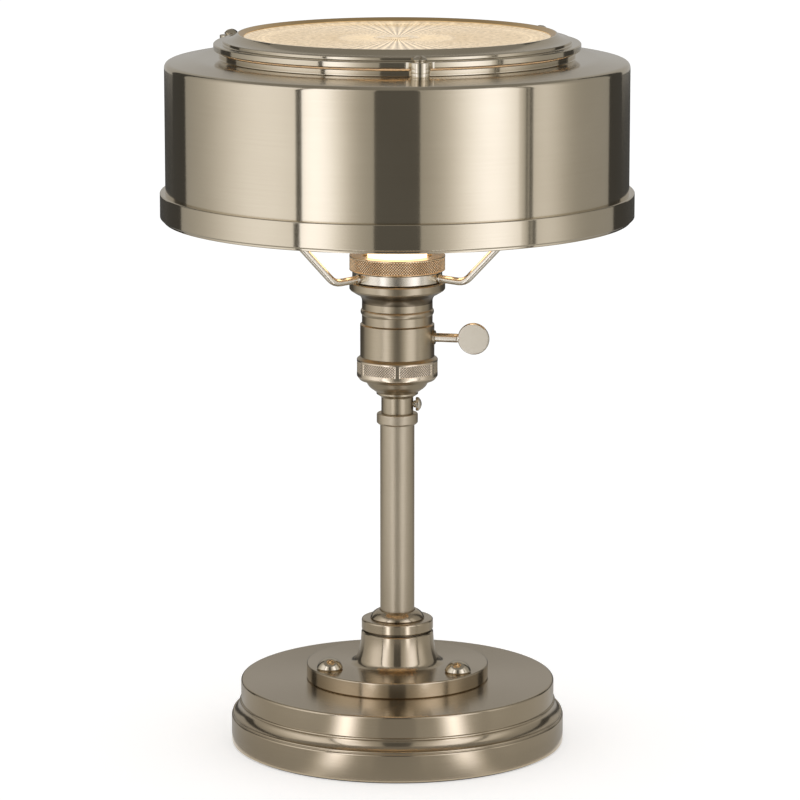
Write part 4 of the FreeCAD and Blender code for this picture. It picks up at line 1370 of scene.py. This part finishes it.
    def knob(self) -> Piece:
        """Flat round paddle on a shank."""
        r, half = self.knob_radius, self.knob_half
        paddle = [(0, -half), (r - 0.5, -half, 0.25, 0, (r, 0)), (r - 0.5, half, 0.25), (0, half)]
        disc = Skin.turned("paddle", paddle, 96, [PALE], False,
                           place=Place.across(self.knob_reach, self.knob_bearing, self.knob_height))
        s, end = self.shank_radius, self.knob_reach - r - 0.5
        rod = [(0, 13.0), (s, 13.0), (s, end, 0, 0, dome(s, end, 1.9)), (0, end + 1.9)]
        shank = Skin.turned("shank", rod, SMALL_COLUMNS, [PALE], False,
                            place=Place.outward(self.knob_bearing, self.knob_height))
        return Skin.joined("turn_knob", [disc, shank], PALE)

    def thumb_screw(self) -> Piece:
        """Round head on its neck and shank."""
        r = self.thumb_radius
        corners = [
            (0, 5.0), (1.2, 5.0), (1.2, 7.25), (1.6, 7.25), (1.6, 8.15), (r - 0.3, 8.15, 0.1),
            (r, 8.45, 0.1), (r, 9.35, 0.15, 0, dome(r, 9.35, 1.5)), (0, 10.85)]
        return Skin.turned("thumb_screw_head", corners, SMALL_COLUMNS, [PALE], False,
                           place=Place.outward(0, self.thumb_height))

    def build(self) -> list[Piece]:
        """Makes the lampholder's pieces."""
        return [settle(self.clamp_ring(), "clamp_ring", "dark_nickel", "knurled_ring"),
                settle(self.cap(), "stand", "dark_nickel", "socket_cap"),
                settle(self.shell(), "stand", "dark_nickel", "socket_shell"),
                settle(self.seat(), "stand", "dark_nickel", "shade_seat"),
                settle(self.knob(), "switch", "pale_nickel", "switch_knob"),
                settle(self.thumb_screw(), "thumb_screw", "pale_nickel", "set_screw")]


@dataclass(frozen=True)
class Panel:
    """A lit panel of the light tent between two bearings seen from the lamp.

    Bearings are degrees from the camera's side, positive to the lamp's right. The level is a
    straight ramp between the two ends, and the lamp behind the cloth adds a soft hot spot.
    """

    start: float
    end: float
    level_start: float
    level_end: float
    spot_bearing: float = 0.0
    spot_width: float = 1.0
    spot_level: float = 0.0

    def level(self, bearing: np.ndarray) -> np.ndarray:
        """Ramp plus a bell curve, spot_level exp(-((bearing - spot_bearing) / spot_width)^2)."""
        share = (bearing - self.start) / (self.end - self.start)
        ramp = self.level_start + (self.level_end - self.level_start) * share
        away = (bearing - self.spot_bearing) / self.spot_width
        return ramp + self.spot_level * np.exp(-away ** 2)


@dataclass
class Studio:
    """Floor, world, light tent and camera."""

    tent_radius: float = 1.05
    tent_top: float = 1.15
    wall_split: float = 0.20
    table_low: float = 0.0006
    table_start: float = 0.0768
    table_plain: float = 0.40
    table_clear: float = 0.125
    far_start: float = 0.35
    far_width: float = 0.45
    floor_half: float = 14.0
    dim: float = 0.13
    ceiling: float = 0.30
    back_level: float = 0.47
    back_bearing: float = 140.0
    panels: tuple = (
        Panel(-180, -123, 0.07, 0.07), Panel(-123, -48.2, 0.42, 0.66, -66, 30, 0.68),
        Panel(-45.0, -10.5, 0.42, 0.44, -39, 15, 1.50), Panel(10.5, 58.6, 0.42, 0.46, 45, 20, 1.35),
        Panel(58.6, 62.3, 1.05, 0.55), Panel(63.7, 64.5, 0.5, 0.5),
        Panel(66.3, 123, 0.46, 0.40, 73, 14, 0.50), Panel(123, 180, 0.07, 0.07))
    near_panels: tuple = (
        Panel(-180, -123, 0.44, 0.44), Panel(-123, -10.5, 0.52, 0.45, -29.5, 6, 2.5),
        Panel(-10.5, 10.5, 0.36, 0.36), Panel(10.5, 123, 0.45, 0.52, 32.5, 6, 2.3),
        Panel(123, 180, 0.44, 0.44))
    camera_place: tuple = (0.0012, -1.820, 0.504)
    camera_pitch: float = 10.845
    focal_pixels: float = 4174.0
    picture_pixels: float = 800.0
    sensor: float = 36.0
    warm: tuple = (1.0, 0.985, 0.955)
    cool: tuple = (0.97, 1.0, 1.12)
    floor_grey: float = 0.80
    floor_glow: float = 0.42
    world_light: float = 0.8

    def levels(self, bearing: np.ndarray, panels: tuple) -> np.ndarray:
        """Brightness at each bearing: the panel's there, or dim."""
        level = np.full(bearing.shape, self.dim)
        for panel in panels:
            inside = (bearing >= panel.start) & (bearing <= panel.end)
            level = np.where(inside, panel.level(bearing), level)
        return level

    def tent(self) -> None:
        """Light tent that only the metal and glass reflect: a glossy table and an upright wall.

        A point is (r sin b, -r cos b, z) at bearing b, outwards along the table, up the wall and
        in along a dim ceiling. The table mirrors lamps of its own near the base and the wall's
        panels further out. The back wall is lit above its foot.
        """
        edges = np.linspace(-180.0, 180.0, 721)
        table = np.geomspace(self.table_start, self.tent_radius, 15)
        radius = np.concatenate([table, [self.tent_radius, self.tent_radius, 0.0]])
        height = np.full(len(radius), self.table_low)
        height[len(table):] = (self.wall_split, self.tent_top, self.tent_top)
        b = np.radians(edges)[None, :]
        r = radius[:, None]
        points = np.stack(np.broadcast_arrays(r * np.sin(b), -r * np.cos(b), height[:, None]), -1)
        rows, columns = len(radius), len(edges)
        ids = np.arange(rows * columns).reshape(rows, columns)
        faces = np.stack([ids[:-1, :-1], ids[:-1, 1:], ids[1:, 1:], ids[1:, :-1]], -1)
        mesh = bpy.data.meshes.new("light_tent")
        mesh.from_pydata(points.reshape(-1, 3).tolist(), [], faces.reshape(-1, 4).tolist())
        bearing = (edges[1:] + edges[:-1]) / 2
        wall = self.levels(bearing, self.panels)[None, :]
        near = self.levels(bearing, self.near_panels)[None, :]
        ring = ((table[1:] + table[:-1]) / 2)[:, None]
        clear = np.clip((ring - self.table_start) / (self.table_clear - self.table_start), 0.15, 1)
        far = np.clip((ring - self.far_start) / self.far_width, 0, 1)
        on_table = self.table_plain + (near + (wall - near) * far - self.table_plain) * clear
        upper = np.where(np.abs(bearing) > self.back_bearing, self.back_level, wall)
        level = np.concatenate([on_table, wall, upper, np.full(wall.shape, self.ceiling)])
        attribute = mesh.attributes.new("level", "FLOAT", "FACE")
        attribute.data.foreach_set("value", level.astype(np.float32).ravel())
        material = bpy.data.materials.new("tent_cloth")
        mesh.materials.append(material)
        tree = ShaderTree(material)
        light = tree.node("Attribute", out="Fac", attribute_name="level")
        colour = tree.mix(tree.clamp(light * 0.8 - 0.4), self.warm, self.cool)
        tree.surface(tree.node("Emission", {"Color": colour, "Strength": light}))
        tent = placed("light_tent", mesh)
        for ray in ("camera", "diffuse", "transmission", "shadow"):
            setattr(tent, "visible_" + ray, False)

    def floor(self) -> None:
        """Plain pale floor."""
        half = self.floor_half
        mesh = bpy.data.meshes.new("floor")
        corners = [(-half, -half, 0), (half, -half, 0), (half, half, 0), (-half, half, 0)]
        mesh.from_pydata(corners, [], [(0, 1, 2, 3)])
        material = bpy.data.materials.new("floor_paper")
        mesh.materials.append(material)
        tree = ShaderTree(material)
        paper = tree.node("BsdfDiffuse", {"Color": (self.floor_grey,) * 3})
        glow = tree.node("Emission", {"Color": (1.0, 1.0, 1.0),
                                      "Strength": tree.seen() * self.floor_glow})
        tree.surface(tree.node("AddShader", {0: paper, 1: glow}))
        placed("floor", mesh)

    def world(self) -> None:
        """White world for the camera, metal and glass, and a soft one for light."""
        world = bpy.data.worlds.new("studio")
        bpy.context.scene.world = world
        tree = ShaderTree(world)
        strength = tree.seen() * (1 - self.world_light) + self.world_light
        light = {"Color": (1.0, 1.0, 1.0), "Strength": strength}
        tree.surface(tree.node("Background", light), "World")

    def camera(self) -> None:
        """Long lens at the photograph's distance, height and pitch."""
        data = bpy.data.cameras.new("camera")
        data.sensor_width = self.sensor
        data.lens = self.focal_pixels * self.sensor / self.picture_pixels
        data.clip_start = 0.1
        data.clip_end = 100.0
        made = placed("camera", data)
        made.location = self.camera_place
        made.rotation_euler = (math.radians(90 - self.camera_pitch), 0, 0)
        bpy.context.scene.camera = made

    def build(self) -> None:
        """Makes the whole studio."""
        self.tent()
        self.floor()
        self.world()
        self.camera()
        bpy.context.scene.view_settings.view_transform = "Standard"


def dress_all() -> None:
    """Gives every CAD node the finish of its material slot."""
    for part in frame["record"]["subparts"]:
        materials = frame["nodes"][part["node"]].data.materials
        materials.clear()
        materials.append(LIBRARY.get(FINISHES[part["material_slot"]]))


def main() -> None:
    """Builds the looks of the lamp in order."""
    logging.basicConfig(level=logging.INFO, format="%(name)s: %(message)s")
    Studio().build()
    dress_all()
    LOG.info("dressed %d nodes", len(frame["nodes"]))
    for assembly in (Base(), Stem(), Lampholder(), Shade(), Bezel(), Lens()):
        for piece in assembly.build():
            LOG.info("made %s with %d faces", piece.name, len(piece.data.polygons))


if __name__ == "__main__":
    main()
